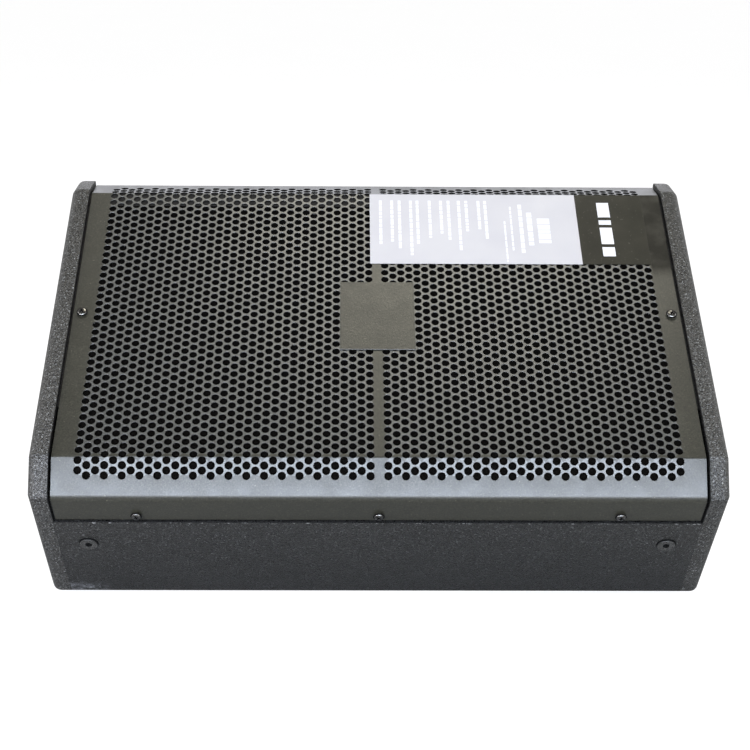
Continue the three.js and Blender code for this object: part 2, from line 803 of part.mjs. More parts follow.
// The horn's mouth is a rounded square and its throat a circle. t runs from 0 at the throat to 1 at the mouth.
function hornSection(t, wall) {
  const flare = THROAT + (82 - THROAT) * (0.42 * t + 0.58 * t ** 2.6);
  const square = Math.min(1, t * 1.3);
  const z = -HORN_DEPTH + (HORN_DEPTH + 4) * t;
  return Array.from({ length: HORN_SIDES }, (_, i) => {
    const a = (i / HORN_SIDES) * 2 * Math.PI;
    const power = 2 + 4 * square;
    const r = 1 / (Math.abs(Math.cos(a)) ** power + Math.abs(Math.sin(a)) ** power) ** (1 / power);
    return [(flare * r + wall) * Math.cos(a), (flare * r * 0.96 + wall) * Math.sin(a), z];
  });
}
function hornShell() {
  const levels = [0, 0.3, 0.6, 0.85];
  // The flange's outline is a square with rounded corners, its points in step with the horn's own.
  const ring = (half, z) =>
    Array.from({ length: HORN_SIDES }, (_, i) => {
      const a = (i / HORN_SIDES) * 2 * Math.PI;
      const r = half / (Math.abs(Math.cos(a)) ** 14 + Math.abs(Math.sin(a)) ** 14) ** (1 / 14);
      return [r * Math.cos(a), r * Math.sin(a), z];
    });
  return loft(
    [
      ...levels.map((t) => hornSection(t, 3)),
      ring(HORN.cutHalf - 2, GAP - 3),
      ring(HORN.cutHalf - 2, GAP),
      ring(HORN.half, GAP),
      ring(HORN.half, 5),
      hornSection(1, 0).map(([x, y]) => [x, y, 5]),
      ...[...levels].reverse().map((t) => hornSection(t, 0)),
    ],
    true,
  );
}
piece(horn, "horn", hornShell(), "plastic");

const DRIVER_R = 42;
const driverFront = -HORN_DEPTH - GAP;
const driverBack = driverFront - 40;
piece(
  horn,
  "driver_motor",
  ringZ(
    [
      [THROAT, driverFront],
      [16, driverBack + 9],
      [25, driverBack + 7],
      [25, driverBack],
      [DRIVER_R, driverBack],
      [DRIVER_R, driverFront - 6],
      [DRIVER_R - 8, driverFront],
    ],
    32,
  ),
  "magnet",
);
piece(
  horn,
  "driver_diaphragm",
  turnedZ(
    [
      [0, driverBack - 4],
      [12, driverBack - 2.4],
      [20, driverBack + 2],
      [24, driverBack + 2],
      [24, driverBack + 2.8],
      [19.6, driverBack + 2.8],
      [11.6, driverBack - 1.4],
      [0, driverBack - 3],
    ],
    24,
  ),
  "steel",
);
piece(
  horn,
  "driver_rear_cap",
  turnedZ(
    [
      [0, driverBack - 16],
      [36, driverBack - 16],
      [DRIVER_R, driverBack - 12],
      [DRIVER_R, driverBack - GAP],
      [30, driverBack - GAP],
      [26, driverBack - 10],
      [0, driverBack - 10],
    ],
    32,
  ),
  "cast_frame",
);

// ---------------------------------------------------------------- input plate, sockets and mode switch

const rear = new THREE.Group(); // z points out of the back, x to the viewer's right behind it
rear.position.set(PLATE.x, BACK_Y - SINK, PLATE.z);
rear.rotation.set(-90 * RAD, 0, 0);
monitor.add(rear);

const SOCKET = { x: 34, bore: 12.2, flange: 14, body: 11.6 };
const SWITCH = { x: 0, halfX: 6, halfY: 3.4, travel: 5 };
const plateInner = (d, z) =>
  roundedRect(PLATE.halfX - PLATE.flange - d, PLATE.halfZ - PLATE.flange - d, PLATE.corner, z);

function inputPlate() {
  const dish = loft([
    plateInner(4, -PLATE.depth),
    plateInner(0, -PLATE.thick),
    roundedRect(PLATE.halfX, PLATE.halfZ, PLATE.corner, -PLATE.thick),
    roundedRect(PLATE.halfX, PLATE.halfZ, PLATE.corner, 0),
    plateInner(2, 0),
    plateInner(6, -PLATE.depth + PLATE.thick),
  ]);
  const sockets = [-1, 1].map((s) =>
    bar(SOCKET.bore, -PLATE.depth - 2, -PLATE.depth + 4, 20).translate(s * SOCKET.x, 0, 0),
  );
  const slot = box(
    -SWITCH.halfX,
    SWITCH.halfX,
    -SWITCH.halfY,
    SWITCH.halfY,
    -PLATE.depth - 2,
    -PLATE.depth + 4,
  );
  const screws = PLATE_SCREWS.map(([x, z]) => bar(SCREW.hole, -4, 2, 10).translate(x, z, 0));
  return cut(dish, ...sockets, slot, ...screws);
}
piece(rear, "input_plate", inputPlate(), "steel");

const SOCKET_FACE = -PLATE.depth + PLATE.thick + GAP;
function speakerSocket() {
  const body = turnedZ(
    [
      [0, SOCKET_FACE - 24],
      [SOCKET.body, SOCKET_FACE - 24],
      [SOCKET.body, SOCKET_FACE + 1],
      [0, SOCKET_FACE + 1],
    ],
    20,
  );
  const flange = loft([
    roundedRect(SOCKET.flange - 1, SOCKET.flange + 2, 3, SOCKET_FACE),
    roundedRect(SOCKET.flange - 1, SOCKET.flange + 2, 3, SOCKET_FACE + 2.5),
  ]);
  const well = ringZ(
    [[4.6, SOCKET_FACE - 18], [9.8, SOCKET_FACE - 18], [9.8, SOCKET_FACE + 4], [4.6, SOCKET_FACE + 4]],
    16,
  );
  return cut(join(body, flange), well);
}
for (const [side, s] of Object.entries(sides)) {
  piece(rear, "input_socket_" + side, speakerSocket(), "plastic").position.x = s * SOCKET.x;
}

piece(
  rear,
  "mode_switch_body",
  cut(
    box(-11, 11, -6, 6, -PLATE.depth - 12, -PLATE.depth - GAP),
    box(-SWITCH.halfX, SWITCH.halfX, -2.5, 2.5, -PLATE.depth - 6, -PLATE.depth),
  ),
  "plastic",
);
piece(
  rear,
  "mode_switch_lever",
  box(-5, 0.3, -2.1, 2.1, -PLATE.depth - 5, -PLATE.depth + 5),
  "plastic",
);
PLATE_SCREWS.forEach(([x, z], i) => {
  piece(rear, "input_plate_screw_" + (i + 1), screw(), "screw").position.set(x, z, GAP);
});

// ---------------------------------------------------------------- handle in the right end panel

const handle = new THREE.Group(); // z points out of the panel, x runs along v and y along w
handle.position.set(WIDTH / 2, HANDLE.v, HANDLE.w);
handle.rotation.set(0, 90 * RAD, 90 * RAD);
face.add(handle);

const GRIP_Z = -19; // z of the grip's axis
const cup = loft([
  handleRing(HANDLE.flange + 9, -HANDLE.depth),
  handleRing(HANDLE.flange, -FLANGE),
  handleRing(0, -FLANGE),
  handleRing(0, 0),
  handleRing(HANDLE.flange + 2, 0),
  handleRing(HANDLE.flange + 11, -HANDLE.depth + FLANGE),
]);
const gripEnds = bar(5.4, -HANDLE.halfV + HANDLE.flange + 1, HANDLE.halfV - HANDLE.flange - 1, 16)
  .rotateY(90 * RAD)
  .translate(0, 0, GRIP_Z);
piece(handle, "handle_cup", cut(cup, gripEnds), "plastic");

const gripHalf = HANDLE.halfV - HANDLE.flange - 3;
const grip = turnedZ(
  [
    [0, -gripHalf],
    [5, -gripHalf],
    [5, -gripHalf + 12],
    [HANDLE.grip - 2, -gripHalf + 14],
    [HANDLE.grip, -gripHalf + 18],
    [HANDLE.grip, gripHalf - 18],
    [HANDLE.grip - 2, gripHalf - 14],
    [5, gripHalf - 12],
    [5, gripHalf],
    [0, gripHalf],
  ],
  20,
);
piece(handle, "handle_grip", grip.rotateY(90 * RAD).translate(0, 0, GRIP_Z), "rubber");

// ---------------------------------------------------------------- pole socket in the left end panel

// z points out of the panel. The bore takes a 35 mm pole.
const poleSocket = turnedZ(
  [
    [0, -POLE.depth],
    [POLE.tube, -POLE.depth],
    [POLE.tube, -FLANGE],
    [POLE.flange, -FLANGE],
    [POLE.flange, 0],
    [POLE.bore + 2, 0],
    [POLE.bore, -4],
    [POLE.bore, -POLE.depth + 3],
    [0, -POLE.depth + 3],
  ],
  32,
);
piece(face, "pole_socket", poleSocket, "cast_frame").position.set(-WIDTH / 2, POLE.v, POLE.w);
face.children.at(-1).rotation.y = -90 * RAD;

// ---------------------------------------------------------------- feet, crossover and damping

const FRONT_Y = FACE_Y + turned(lowerEdge)[0];
const FOOT = { radius: 15, inset: 34 };
const footShape = () =>
  turnedZ(
    [
      [0, 2],
      [5, 2],
      [5, 0],
      [FOOT.radius, 0],
      [FOOT.radius + 1.5, FOOT_HEIGHT - GAP],
      [0, FOOT_HEIGHT - GAP],
    ],
    20,
  );
for (const [side, s] of Object.entries(sides))
  for (const [where, y] of [["front", FRONT_Y + FOOT.inset], ["rear", BACK_Y - FOOT.inset]]) {
    const foot = piece(monitor, "foot_" + where + "_" + side, footShape(), "rubber");
    foot.position.set(s * (INNER_X - FOOT.inset), y, 0);
  }

const FLOOR_TOP = FOOT_HEIGHT + PLY + GAP;
const INSIDE_FRONT = FACE_Y + turned(innerLowerEdge)[0] + 6;
const INSIDE_BACK = FACE_Y + turned(innerRearEdge)[0] - 6;

piece(
  monitor,
  "damping_pad",
  box(-PANEL_X + 14, 6, INSIDE_FRONT, INSIDE_BACK, FLOOR_TOP, FLOOR_TOP + 24),
  "cloth",
);

const crossover = new THREE.Group();
crossover.position.set(146, (INSIDE_FRONT + INSIDE_BACK) / 2, FLOOR_TOP);
monitor.add(crossover);
piece(crossover, "crossover_board", box(-85, 85, -52, 52, 0, 1.6), "board");

const ON_BOARD = 1.6 + GAP;
const coil = (inner, outer, height) =>
  ringZ([[inner, ON_BOARD], [outer, ON_BOARD], [outer, ON_BOARD + height], [inner, ON_BOARD + height]], 32);
piece(crossover, "crossover_inductor_low", coil(12, 27, 20), "coil_copper").position.set(-50, 14, 0);
piece(crossover, "crossover_inductor_high", coil(8, 17, 14), "coil_copper").position.set(56, 26, 0);
const capacitor = (radius, length) =>
  bar(radius, -length / 2, length / 2, 20).rotateY(90 * RAD).translate(0, 0, ON_BOARD + radius);
piece(crossover, "crossover_capacitor_low", capacitor(13, 52), "lead").position.set(4, -32, 0);
piece(crossover, "crossover_capacitor_high", capacitor(9, 34), "lead").position.set(58, -24, 0);

export default monitor;
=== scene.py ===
import json
import math
import random

import bpy
from mathutils import Matrix, Vector, noise
from mathutils.geometry import delaunay_2d_cdt


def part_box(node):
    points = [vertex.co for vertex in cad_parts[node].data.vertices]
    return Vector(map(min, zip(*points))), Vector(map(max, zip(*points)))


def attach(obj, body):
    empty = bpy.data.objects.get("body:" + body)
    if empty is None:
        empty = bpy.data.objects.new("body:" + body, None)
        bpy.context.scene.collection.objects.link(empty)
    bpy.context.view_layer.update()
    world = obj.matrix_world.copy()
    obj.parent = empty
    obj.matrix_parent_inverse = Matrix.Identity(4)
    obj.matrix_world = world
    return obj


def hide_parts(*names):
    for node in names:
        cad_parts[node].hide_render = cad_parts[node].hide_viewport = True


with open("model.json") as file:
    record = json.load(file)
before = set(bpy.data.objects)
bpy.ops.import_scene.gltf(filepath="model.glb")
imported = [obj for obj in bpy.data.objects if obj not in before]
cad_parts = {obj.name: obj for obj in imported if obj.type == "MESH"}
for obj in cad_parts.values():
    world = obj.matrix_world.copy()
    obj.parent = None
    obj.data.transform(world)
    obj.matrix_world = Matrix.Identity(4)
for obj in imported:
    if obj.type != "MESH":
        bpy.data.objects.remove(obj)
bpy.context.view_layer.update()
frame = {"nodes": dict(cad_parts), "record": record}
nodes = frame["nodes"]
scene = bpy.context.scene
MM = 0.001

# The face frame: x, v up the grille and w out of it, from the middle of the grille's outer surface.
# The badge plate lies on that middle, so its box gives the origin.
LEAN = math.radians(34)
BADGE_MIDDLE = 0.8 * MM
FACE_TURN = Matrix.Rotation(LEAN, 4, "X")
badge_low, badge_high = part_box("badge_plate")
face_origin = (badge_low + badge_high) / 2 - FACE_TURN @ Vector((0, 0, BADGE_MIDDLE))
FACE = Matrix.Translation(face_origin) @ FACE_TURN


# ---------------------------------------------------------------- camera

camera_data = bpy.data.cameras.new("camera")
camera = bpy.data.objects.new("camera", camera_data)
scene.collection.objects.link(camera)
scene.camera = camera
camera_data.sensor_width = 36
camera_data.lens = 71.05
camera_data.shift_x = 0.0214
camera_data.shift_y = -0.0422
camera_data.clip_end = 100
turn = FACE.to_3x3()
eye = FACE @ Vector((-0.03056, -0.89167, 1.04489))
ahead = turn @ Vector((0.00986, 0.63489, -0.77254))
up = turn @ Vector((-0.00345, 0.77260, 0.63489))
right = ahead.cross(up).normalized()
up = right.cross(ahead).normalized()
camera.matrix_world = Matrix.Translation(eye) @ Matrix((right, up, -ahead)).transposed().to_4x4()


# ---------------------------------------------------------------- light

scene.view_settings.view_transform = "Standard"
scene.view_settings.look = "None"


def area_light(name, place, target, size, energy, colour=(1, 1, 1)):
    data = bpy.data.lights.new(name, "AREA")
    data.shape = "RECTANGLE"
    data.size, data.size_y = size
    data.energy = energy
    data.color = colour
    lamp = bpy.data.objects.new(name, data)
    scene.collection.objects.link(lamp)
    lamp.location = place
    lamp.visible_camera = False
    lamp.rotation_mode = "QUATERNION"
    lamp.rotation_quaternion = (Vector(target) - Vector(place)).to_track_quat("-Z", "Y")


area_light("light_front", (0.0, -2.6, 0.98), (0, 0, 0.2), (3.4, 0.55), 120, (0.74, 0.84, 1))
area_light("light_front_low", (0.0, -2.7, 0.42), (0, 0, 0.15), (3.4, 0.5), 50, (0.80, 0.87, 1))
area_light("light_above", (0.2, 0.66, 2.5), (0.1, 0, 0.25), (1.15, 1.0), 20, (1, 0.95, 0.80))
area_light("light_back", (0, 3.2, 1.7), (0, 0, 0.3), (3.4, 0.8), 21, (0.86, 0.88, 1))
area_light("light_left", (-0.95, -0.85, 0.3), (-0.2, -0.1, 0.1), (0.3, 0.3), 7.5, (0.93, 0.91, 1))
area_light("light_right", (0.95, -0.85, 0.3), (0.2, -0.1, 0.1), (0.3, 0.3), 2.2, (1, 1, 0.94))
area_light("light_side_left", (-2.6, 0.1, 1.2), (0, 0, 0.2), (1.2, 1.2), 14)
area_light("light_side_right", (2.6, 0.1, 1.2), (0, 0, 0.2), (1.2, 1.2), 14)


def studio_world():
    """White round the horizon and dimmer overhead, as in a room with pale walls."""
    world = bpy.data.worlds.new("studio")
    scene.world = world
    world.use_nodes = True
    tree = world.node_tree
    background = tree.nodes["Background"]
    place = tree.nodes.new("ShaderNodeTexCoord")
    parts = tree.nodes.new("ShaderNodeSeparateXYZ")
    fall = tree.nodes.new("ShaderNodeMapRange")
    fall.inputs["From Min"].default_value = 0.35
    fall.inputs["From Max"].default_value = 0.8
    fall.inputs["To Min"].default_value = 1.0
    fall.inputs["To Max"].default_value = 0.22
    tree.links.new(place.outputs["Generated"], parts.inputs["Vector"])
    tree.links.new(parts.outputs["Z"], fall.inputs["Value"])
    tree.links.new(fall.outputs["Result"], background.inputs["Strength"])
    background.inputs["Color"].default_value = (1, 1, 1, 1)


studio_world()


# ---------------------------------------------------------------- materials


class Nodes:
    """A material's node tree, with the object's own coordinates in metres."""

    def __init__(self, name, colour, roughness, metallic=0.0, specular=0.5):
        self.material = bpy.data.materials.new(name)
        self.material.use_nodes = True
        self.tree = self.material.node_tree
        self.shader = self.tree.nodes["Principled BSDF"]
        self.shader.inputs["Base Color"].default_value = (*colour, 1)
        self.shader.inputs["Roughness"].default_value = roughness
        self.shader.inputs["Metallic"].default_value = metallic
        self.shader.inputs["Specular IOR Level"].default_value = specular
        self.material.diffuse_color = (*colour, 1)
        self.place = self.tree.nodes.new("ShaderNodeTexCoord").outputs["Object"]
        self.normal = None

    def node(self, kind, **settings):
        made = self.tree.nodes.new(kind)
        for key, value in settings.items():
            setattr(made, key, value)
        return made

    def link(self, a, b):
        self.tree.links.new(a, b)

    def stretched(self, scale):
        made = self.node("ShaderNodeMapping")
        made.inputs["Scale"].default_value = scale
        self.link(self.place, made.inputs["Vector"])
        return made.outputs["Vector"]

    def along(self, axis):
        """The coordinate along an axis, in metres."""
        made = self.node("ShaderNodeSeparateXYZ")
        self.link(self.place, made.inputs["Vector"])
        return made.outputs[axis]

    def face_place(self, axis):
        """The coordinate along an axis of the face frame, in metres."""
        made = self.node("ShaderNodeMapping", vector_type="TEXTURE")
        made.inputs["Location"].default_value = face_origin
        made.inputs["Rotation"].default_value = (LEAN, 0, 0)
        self.link(self.place, made.inputs["Vector"])
        parts = self.node("ShaderNodeSeparateXYZ")
        self.link(made.outputs["Vector"], parts.inputs["Vector"])
        return parts.outputs[axis]

    def noise(self, scale, detail=2.0, rough=0.5, place=None):
        made = self.node("ShaderNodeTexNoise")
        made.inputs["Scale"].default_value = scale
        made.inputs["Detail"].default_value = detail
        made.inputs["Roughness"].default_value = rough
        self.link(place or self.place, made.inputs["Vector"])
        return made.outputs["Fac"]

    def cells(self, scale, feature="F1", output="Distance"):
        made = self.node("ShaderNodeTexVoronoi", feature=feature)
        made.inputs["Scale"].default_value = scale
        self.link(self.place, made.inputs["Vector"])
        return made.outputs[output]

    def wave(self, scale, direction="X", distortion=0.0):
        made = self.node("ShaderNodeTexWave", bands_direction=direction)
        made.inputs["Scale"].default_value = scale
        made.inputs["Distortion"].default_value = distortion
        self.link(self.place, made.inputs["Vector"])
        return made.outputs["Fac"]

    def spread(self, value, low, high, to_low=0.0, to_high=1.0):
        made = self.node("ShaderNodeMapRange")
        made.inputs["From Min"].default_value = low
        made.inputs["From Max"].default_value = high
        made.inputs["To Min"].default_value = to_low
        made.inputs["To Max"].default_value = to_high
        self.link(value, made.inputs["Value"])
        return made.outputs["Result"]

    def times(self, a, b):
        return self.math("MULTIPLY", a, b)

    def math(self, operation, a, b=None):
        made = self.node("ShaderNodeMath", operation=operation)
        for slot, value in zip(made.inputs, (a, b)):
            if value is None:
                continue
            if isinstance(value, (int, float)):
                slot.default_value = value
            else:
                self.link(value, slot)
        return made.outputs[0]

    def mix(self, amount, a, b):
        made = self.node("ShaderNodeMix", data_type="RGBA")
        self.link(amount, made.inputs["Factor"])
        for slot, value in ((made.inputs["A"], a), (made.inputs["B"], b)):
            if isinstance(value, tuple):
                slot.default_value = (*value, 1)
            else:
                self.link(value, slot)
        return made.outputs["Result"]

    def colour(self, value):
        self.link(value, self.shader.inputs["Base Color"])

    def roughness(self, value):
        self.link(value, self.shader.inputs["Roughness"])

    def bump(self, height, depth, strength=1.0):
        made = self.node("ShaderNodeBump")
        made.inputs["Strength"].default_value = strength
        made.inputs["Distance"].default_value = depth
        self.link(height, made.inputs["Height"])
        if self.normal is not None:
            self.link(self.normal, made.inputs["Normal"])
        self.normal = made.outputs["Normal"]
        self.link(self.normal, self.shader.inputs["Normal"])


# Places of marks and of painted light, in metres. Each pair is where a mark has faded out and where it is
# whole.
# The end panels' inner faces and the lower front panel's ledge under the grille, both painted near black as
# shade, then the edge before the ledge, with painted highlights.
INNER_X = (0.2842, 0.2838)
LEDGE_W = -52.7 * MM
LEDGE_SHADE = (LEDGE_W - 0.0008, LEDGE_W - 0.0006)
GLINT_EDGE = (LEDGE_W - 0.0022, LEDGE_W - 0.0014)
# The scuff on the lower front panel's left corner.
SCUFF_LEFT = (-0.292, -0.284)
SCUFF_RIGHT = (-0.246, -0.262)
SCUFF_TOP = (0.020, 0.010)
# The painted shade on the grille's right margin, beside the label.
LABEL_SHADE_X = (0.2615, 0.2640)
LABEL_SHADE_BOTTOM = (0.048, 0.064)
LABEL_SHADE_TOP = (0.1600, 0.1590)


def shade(colour, share):
    return tuple(c * share for c in colour)


def coating(name, base, marks_and_shade=None, grain=1.0):
    """Sprayed textured coating: a pebbled skin, with pale specks painted into the colour as highlights.
    marks_and_shade may add a panel's own marks and painted shade.
    """
    m = Nodes(name, base, 0.4, 0.0, 0.5)
    pebbles = m.cells(700)
    fine = m.noise(1100, 2)
    m.bump(m.noise(130, 2), 0.0008, 0.08)
    m.bump(m.math("ADD", m.times(pebbles, 0.9), m.times(fine, 0.9)), 0.0008, 0.85 * grain)
    mottle = m.spread(m.noise(640, 2, 0.6), 0.40, 0.60)
    tone = m.mix(mottle, shade(base, 1 - 0.95 * grain), shade(base, 1 + grain))
    tone = m.mix(m.spread(m.noise(9, 3), 0.35, 0.65, 0.0, 0.35), tone, shade(base, 0.7))
    # Pale specks painted into the colour: painted highlights on the coating's pebbles.
    peak_glints = m.spread(m.noise(760, 1), 0.63, 0.70)
    tone = m.mix(m.times(peak_glints, 0.9 * grain), tone, (0.2, 0.2, 0.19))
    if marks_and_shade:
        tone = marks_and_shade(m, base, tone)
    m.colour(tone)
    m.roughness(m.spread(m.noise(760, 1), 0.35, 0.65, 0.24, 0.52))
    return m.material


def end_panel_gap_shade(m, base, tone):
    """The faces towards the grille are painted near black, as shade in the gap beside the grille."""
    inner = m.spread(m.math("ABSOLUTE", m.along("X")), *INNER_X)
    return m.mix(inner, tone, (0.0015, 0.0015, 0.0015))


def front_panel_marks_and_shade(m, base, tone):
    """Painted shade darker towards the floor, a scuffed corner, painted shade on the ledge under the grille,
    and pale specks painted along its edge as highlights.
    """
    # Painted shade: darker towards the floor.
    floor_shade = m.spread(m.along("Z"), 0.0, 0.1, 0.5, 0.0)
    tone = m.mix(floor_shade, tone, shade(base, 0.2))
    across = m.times(m.spread(m.along("X"), *SCUFF_LEFT), m.spread(m.along("X"), *SCUFF_RIGHT))
    patch = m.times(across, m.spread(m.along("Z"), *SCUFF_TOP))
    patch = m.times(patch, m.spread(m.noise(140, 4, 0.7), 0.42, 0.58, 0.0, 0.9))
    tone = m.mix(patch, tone, (0.14, 0.14, 0.145))
    w = m.face_place("Z")
    # Pale specks painted along the ledge's edge: painted highlights.
    edge = m.spread(w, *GLINT_EDGE)
    pale_specks = m.times(edge, m.spread(m.noise(330, 2), 0.6, 0.68))
    tone = m.mix(pale_specks, tone, (0.26, 0.26, 0.25))
    # Painted shade: the ledge in the gap under the grille's flange is painted near black.
    ledge = m.spread(w, *LEDGE_SHADE)
    return m.mix(ledge, tone, (0.0012, 0.0012, 0.0012))


def painted_ply():
    """Birch plywood under thin matt black paint, its grain along X."""
    m = Nodes("painted_ply", (0.012, 0.011, 0.010), 0.85, 0.0, 0.2)
    grain = m.noise(1, 6, 0.6, m.stretched((6, 160, 160)))
    pores = m.noise(1, 2, 0.5, m.stretched((60, 1600, 1600)))
    m.colour(m.mix(m.spread(grain, 0.3, 0.7), (0.008, 0.007, 0.006), (0.02, 0.018, 0.016)))
    m.roughness(m.spread(grain, 0.2, 0.8, 0.75, 0.95))
    m.bump(pores, 0.0002, 0.5)
    return m.material


def grille_paint(name, base, warm, specular=0.62, orange_peel=0.3):
    """Satin powder coat: orange peel, a fine fleck, a little dust, and painted shade beside the label, darker
    and duller.
    """
    m = Nodes(name, base, 0.36, 0.0, specular)
    fleck = m.cells(1500, output="Color")
    tone = m.mix(m.spread(m.noise(5, 3), 0.3, 0.7), base, warm)
    tone = m.mix(m.spread(m.noise(700, 1), 0.52, 0.66, 0, 0.75), tone, shade(base, 2.2))
    tone = m.mix(m.spread(m.noise(760, 1), 0.48, 0.34, 0, 0.75), tone, shade(base, 0.35))
    specks = m.spread(m.noise(620, 0), 0.80, 0.86)
    tone = m.mix(m.times(specks, 0.22), tone, (0.3, 0.28, 0.2))
    v = m.face_place("Y")
    beside_label = m.times(m.spread(v, *LABEL_SHADE_BOTTOM), m.spread(v, *LABEL_SHADE_TOP))
    # Painted shade: the right margin beside the label is darkened and dulled.
    label_shade = m.times(m.spread(m.along("X"), *LABEL_SHADE_X), beside_label)
    label_shade = m.times(label_shade, m.spread(m.noise(55, 3), 0.2, 0.6, 0.65, 1.0))
    m.colour(m.mix(label_shade, tone, shade(base, 0.3)))
    m.link(m.spread(label_shade, 0, 1, specular, specular * 0.25), m.shader.inputs["Specular IOR Level"])
    m.roughness(m.spread(m.noise(60, 4), 0.3, 0.7, 0.32, 0.40))
    m.bump(m.noise(420, 3), 0.00014, orange_peel)
    m.bump(fleck, 0.00005, orange_peel)
    return m.material


def foam():
    """Open-cell acoustic foam."""
    m = Nodes("foam", (0.002, 0.0019, 0.0018), 1.0, 0.0, 0.02)
    holes = m.cells(700)
    m.colour(m.mix(m.spread(holes, 0.1, 0.6), (0.0005, 0.0005, 0.0004), (0.0032, 0.0028, 0.0024)))
    m.bump(holes, 0.0010, 0.9)
    m.bump(m.noise(90, 3), 0.0015, 0.4)
    return m.material


def screw_metal():
    """Nickel-plated steel, a little tarnished."""
    m = Nodes("screw_metal", (0.2, 0.195, 0.19), 0.25, 1.0)
    tarnish = m.spread(m.noise(420, 3), 0.4, 0.65)
    m.colour(m.mix(tarnish, (0.23, 0.225, 0.215), (0.075, 0.073, 0.068)))
    m.roughness(m.spread(m.noise(900, 2), 0.3, 0.7, 0.14, 0.3))
    m.bump(m.noise(1600, 2), 0.00005, 0.4)
    return m.material


def steel():
    """Zinc-plated steel with turning marks and a faint cloudy passivation."""
    colour = (0.5, 0.51, 0.52)
    m = Nodes("steel", colour, 0.3, 1.0)
    cloud = m.noise(40, 4, 0.6)
    m.colour(m.mix(m.spread(cloud, 0.35, 0.65), shade(colour, 0.75), colour))
    m.roughness(m.spread(m.noise(300, 3), 0.3, 0.7, 0.23, 0.44))
    m.bump(m.noise(1, 2, 0.5, m.stretched((2400, 300, 2400))), 0.00004, 0.5)
    return m.material


def cast_metal():
    """Black die-cast aluminium with a fine sandy skin."""
    m = Nodes("cast_metal", (0.03, 0.03, 0.031), 0.45, 0.2)
    sand = m.noise(1300, 3, 0.7)
    m.colour(m.mix(m.spread(m.noise(30, 4), 0.3, 0.7), (0.022, 0.022, 0.023), (0.05, 0.05, 0.052)))
    m.roughness(m.spread(sand, 0.3, 0.7, 0.36, 0.6))
    m.bump(sand, 0.00015, 0.6)
    return m.material


def ferrite():
    """Sintered ferrite: dull, dark, with ground faces and chipped specks."""
    m = Nodes("ferrite", (0.045, 0.044, 0.046), 0.6, 0.0)
    grind = m.noise(1, 3, 0.6, m.stretched((900, 120, 900)))
    pale_specks = m.spread(m.noise(220, 2), 0.66, 0.72)
    tone = m.mix(m.spread(grind, 0.3, 0.7), (0.032, 0.031, 0.033), (0.062, 0.061, 0.063))
    m.colour(m.mix(pale_specks, tone, (0.1, 0.098, 0.1)))
    m.roughness(m.spread(grind, 0.3, 0.7, 0.5, 0.72))
    m.bump(grind, 0.0001, 0.5)
    return m.material


def cone_paper():
    """Pressed paper pulp with fibres."""
    m = Nodes("cone_paper", (0.014, 0.014, 0.014), 0.9, 0.0, 0.3)
    fibre = m.noise(260, 6, 0.75)
    threads = m.cells(420, feature="DISTANCE_TO_EDGE")
    m.colour(m.mix(m.spread(fibre, 0.35, 0.7), (0.010, 0.010, 0.010), (0.035, 0.033, 0.030)))
    m.roughness(m.spread(fibre, 0.3, 0.7, 0.75, 0.98))
    m.bump(m.math("ADD", fibre, m.times(threads, 0.6)), 0.0005, 0.5)
    return m.material


def copper():
    """Enamelled copper wire in close turns."""
    m = Nodes("copper", (0.55, 0.2, 0.08), 0.3, 1.0)
    m.colour(m.mix(m.spread(m.noise(70, 3), 0.3, 0.7), (0.42, 0.14, 0.05), (0.68, 0.28, 0.12)))
    m.roughness(m.spread(m.noise(500, 2), 0.3, 0.7, 0.22, 0.42))
    m.bump(m.wave(260, "Z"), 0.0003, 0.6)
    return m.material


def felt(name, dark, light):
    """Pressed or woven fibre."""
    m = Nodes(name, dark, 0.97, 0.0, 0.15)
    tufts = m.noise(190, 7, 0.75)
    weave = m.times(m.wave(190, "X", 2), m.wave(190, "Y", 2))
    m.colour(m.mix(m.spread(tufts, 0.3, 0.7), dark, light))
    m.bump(m.math("ADD", tufts, m.times(weave, 0.3)), 0.0012, 0.6)
    m.shader.inputs["Sheen Weight"].default_value = 0.15
    return m.material


def plastic(name, dark, light, rough=0.45, grain=900, specular=0.5):
    """Moulded plastic with a spark-eroded grain."""
    m = Nodes(name, dark, rough, 0.0, specular)
    skin = m.noise(grain, 3, 0.6)
    m.colour(m.mix(m.spread(m.noise(18, 4), 0.35, 0.65), dark, light))
    m.roughness(m.spread(skin, 0.3, 0.7, rough - 0.08, rough + 0.12))
    m.bump(skin, 0.00012, 0.5)
    return m.material


def rubber():
    """Black rubber with mould bloom."""
    m = Nodes("rubber", (0.012, 0.012, 0.012), 0.7, 0.0, 0.35)
    bloom = m.spread(m.noise(35, 5, 0.7), 0.45, 0.75)
    m.colour(m.mix(bloom, (0.010, 0.010, 0.010), (0.034, 0.033, 0.032)))
    m.roughness(m.spread(m.noise(400, 3), 0.3, 0.7, 0.6, 0.85))
    m.bump(m.noise(700, 3), 0.0002, 0.5)
    return m.material


def board():
    """Green lacquered glass-fibre board with its weave and copper tracks."""
    m = Nodes("board", (0.01, 0.09, 0.03), 0.35)
    tracks = m.cells(70, feature="DISTANCE_TO_EDGE")
    weave = m.times(m.wave(330, "X"), m.wave(330, "Y"))
    tone = m.mix(m.spread(weave, 0, 1), (0.008, 0.07, 0.025), (0.012, 0.1, 0.035))
    m.colour(m.mix(m.spread(tracks, 0.04, 0.06), (0.03, 0.19, 0.06), tone))
    m.roughness(m.spread(weave, 0, 1, 0.28, 0.42))
    m.bump(m.spread(tracks, 0.04, 0.07, 1, 0), 0.0001, 0.5)
    return m.material


def film(name, base, mottle, rough=0.35, specular=0.4):
    """Thin printed film: faint mottle, dust and shallow ripples."""
    m = Nodes(name, base, rough, 0.0, specular)
    dust = m.spread(m.noise(500, 1), 0.7, 0.76)
    tone = m.mix(m.spread(m.noise(22, 3), 0.35, 0.65), base, mottle)
    m.colour(m.mix(m.times(dust, 0.1), tone, (0.4, 0.38, 0.3)))
    m.roughness(m.spread(m.noise(45, 3), 0.3, 0.7, rough - 0.05, rough + 0.1))
    m.bump(m.noise(30, 2), 0.0003, 0.25)
    return m.material


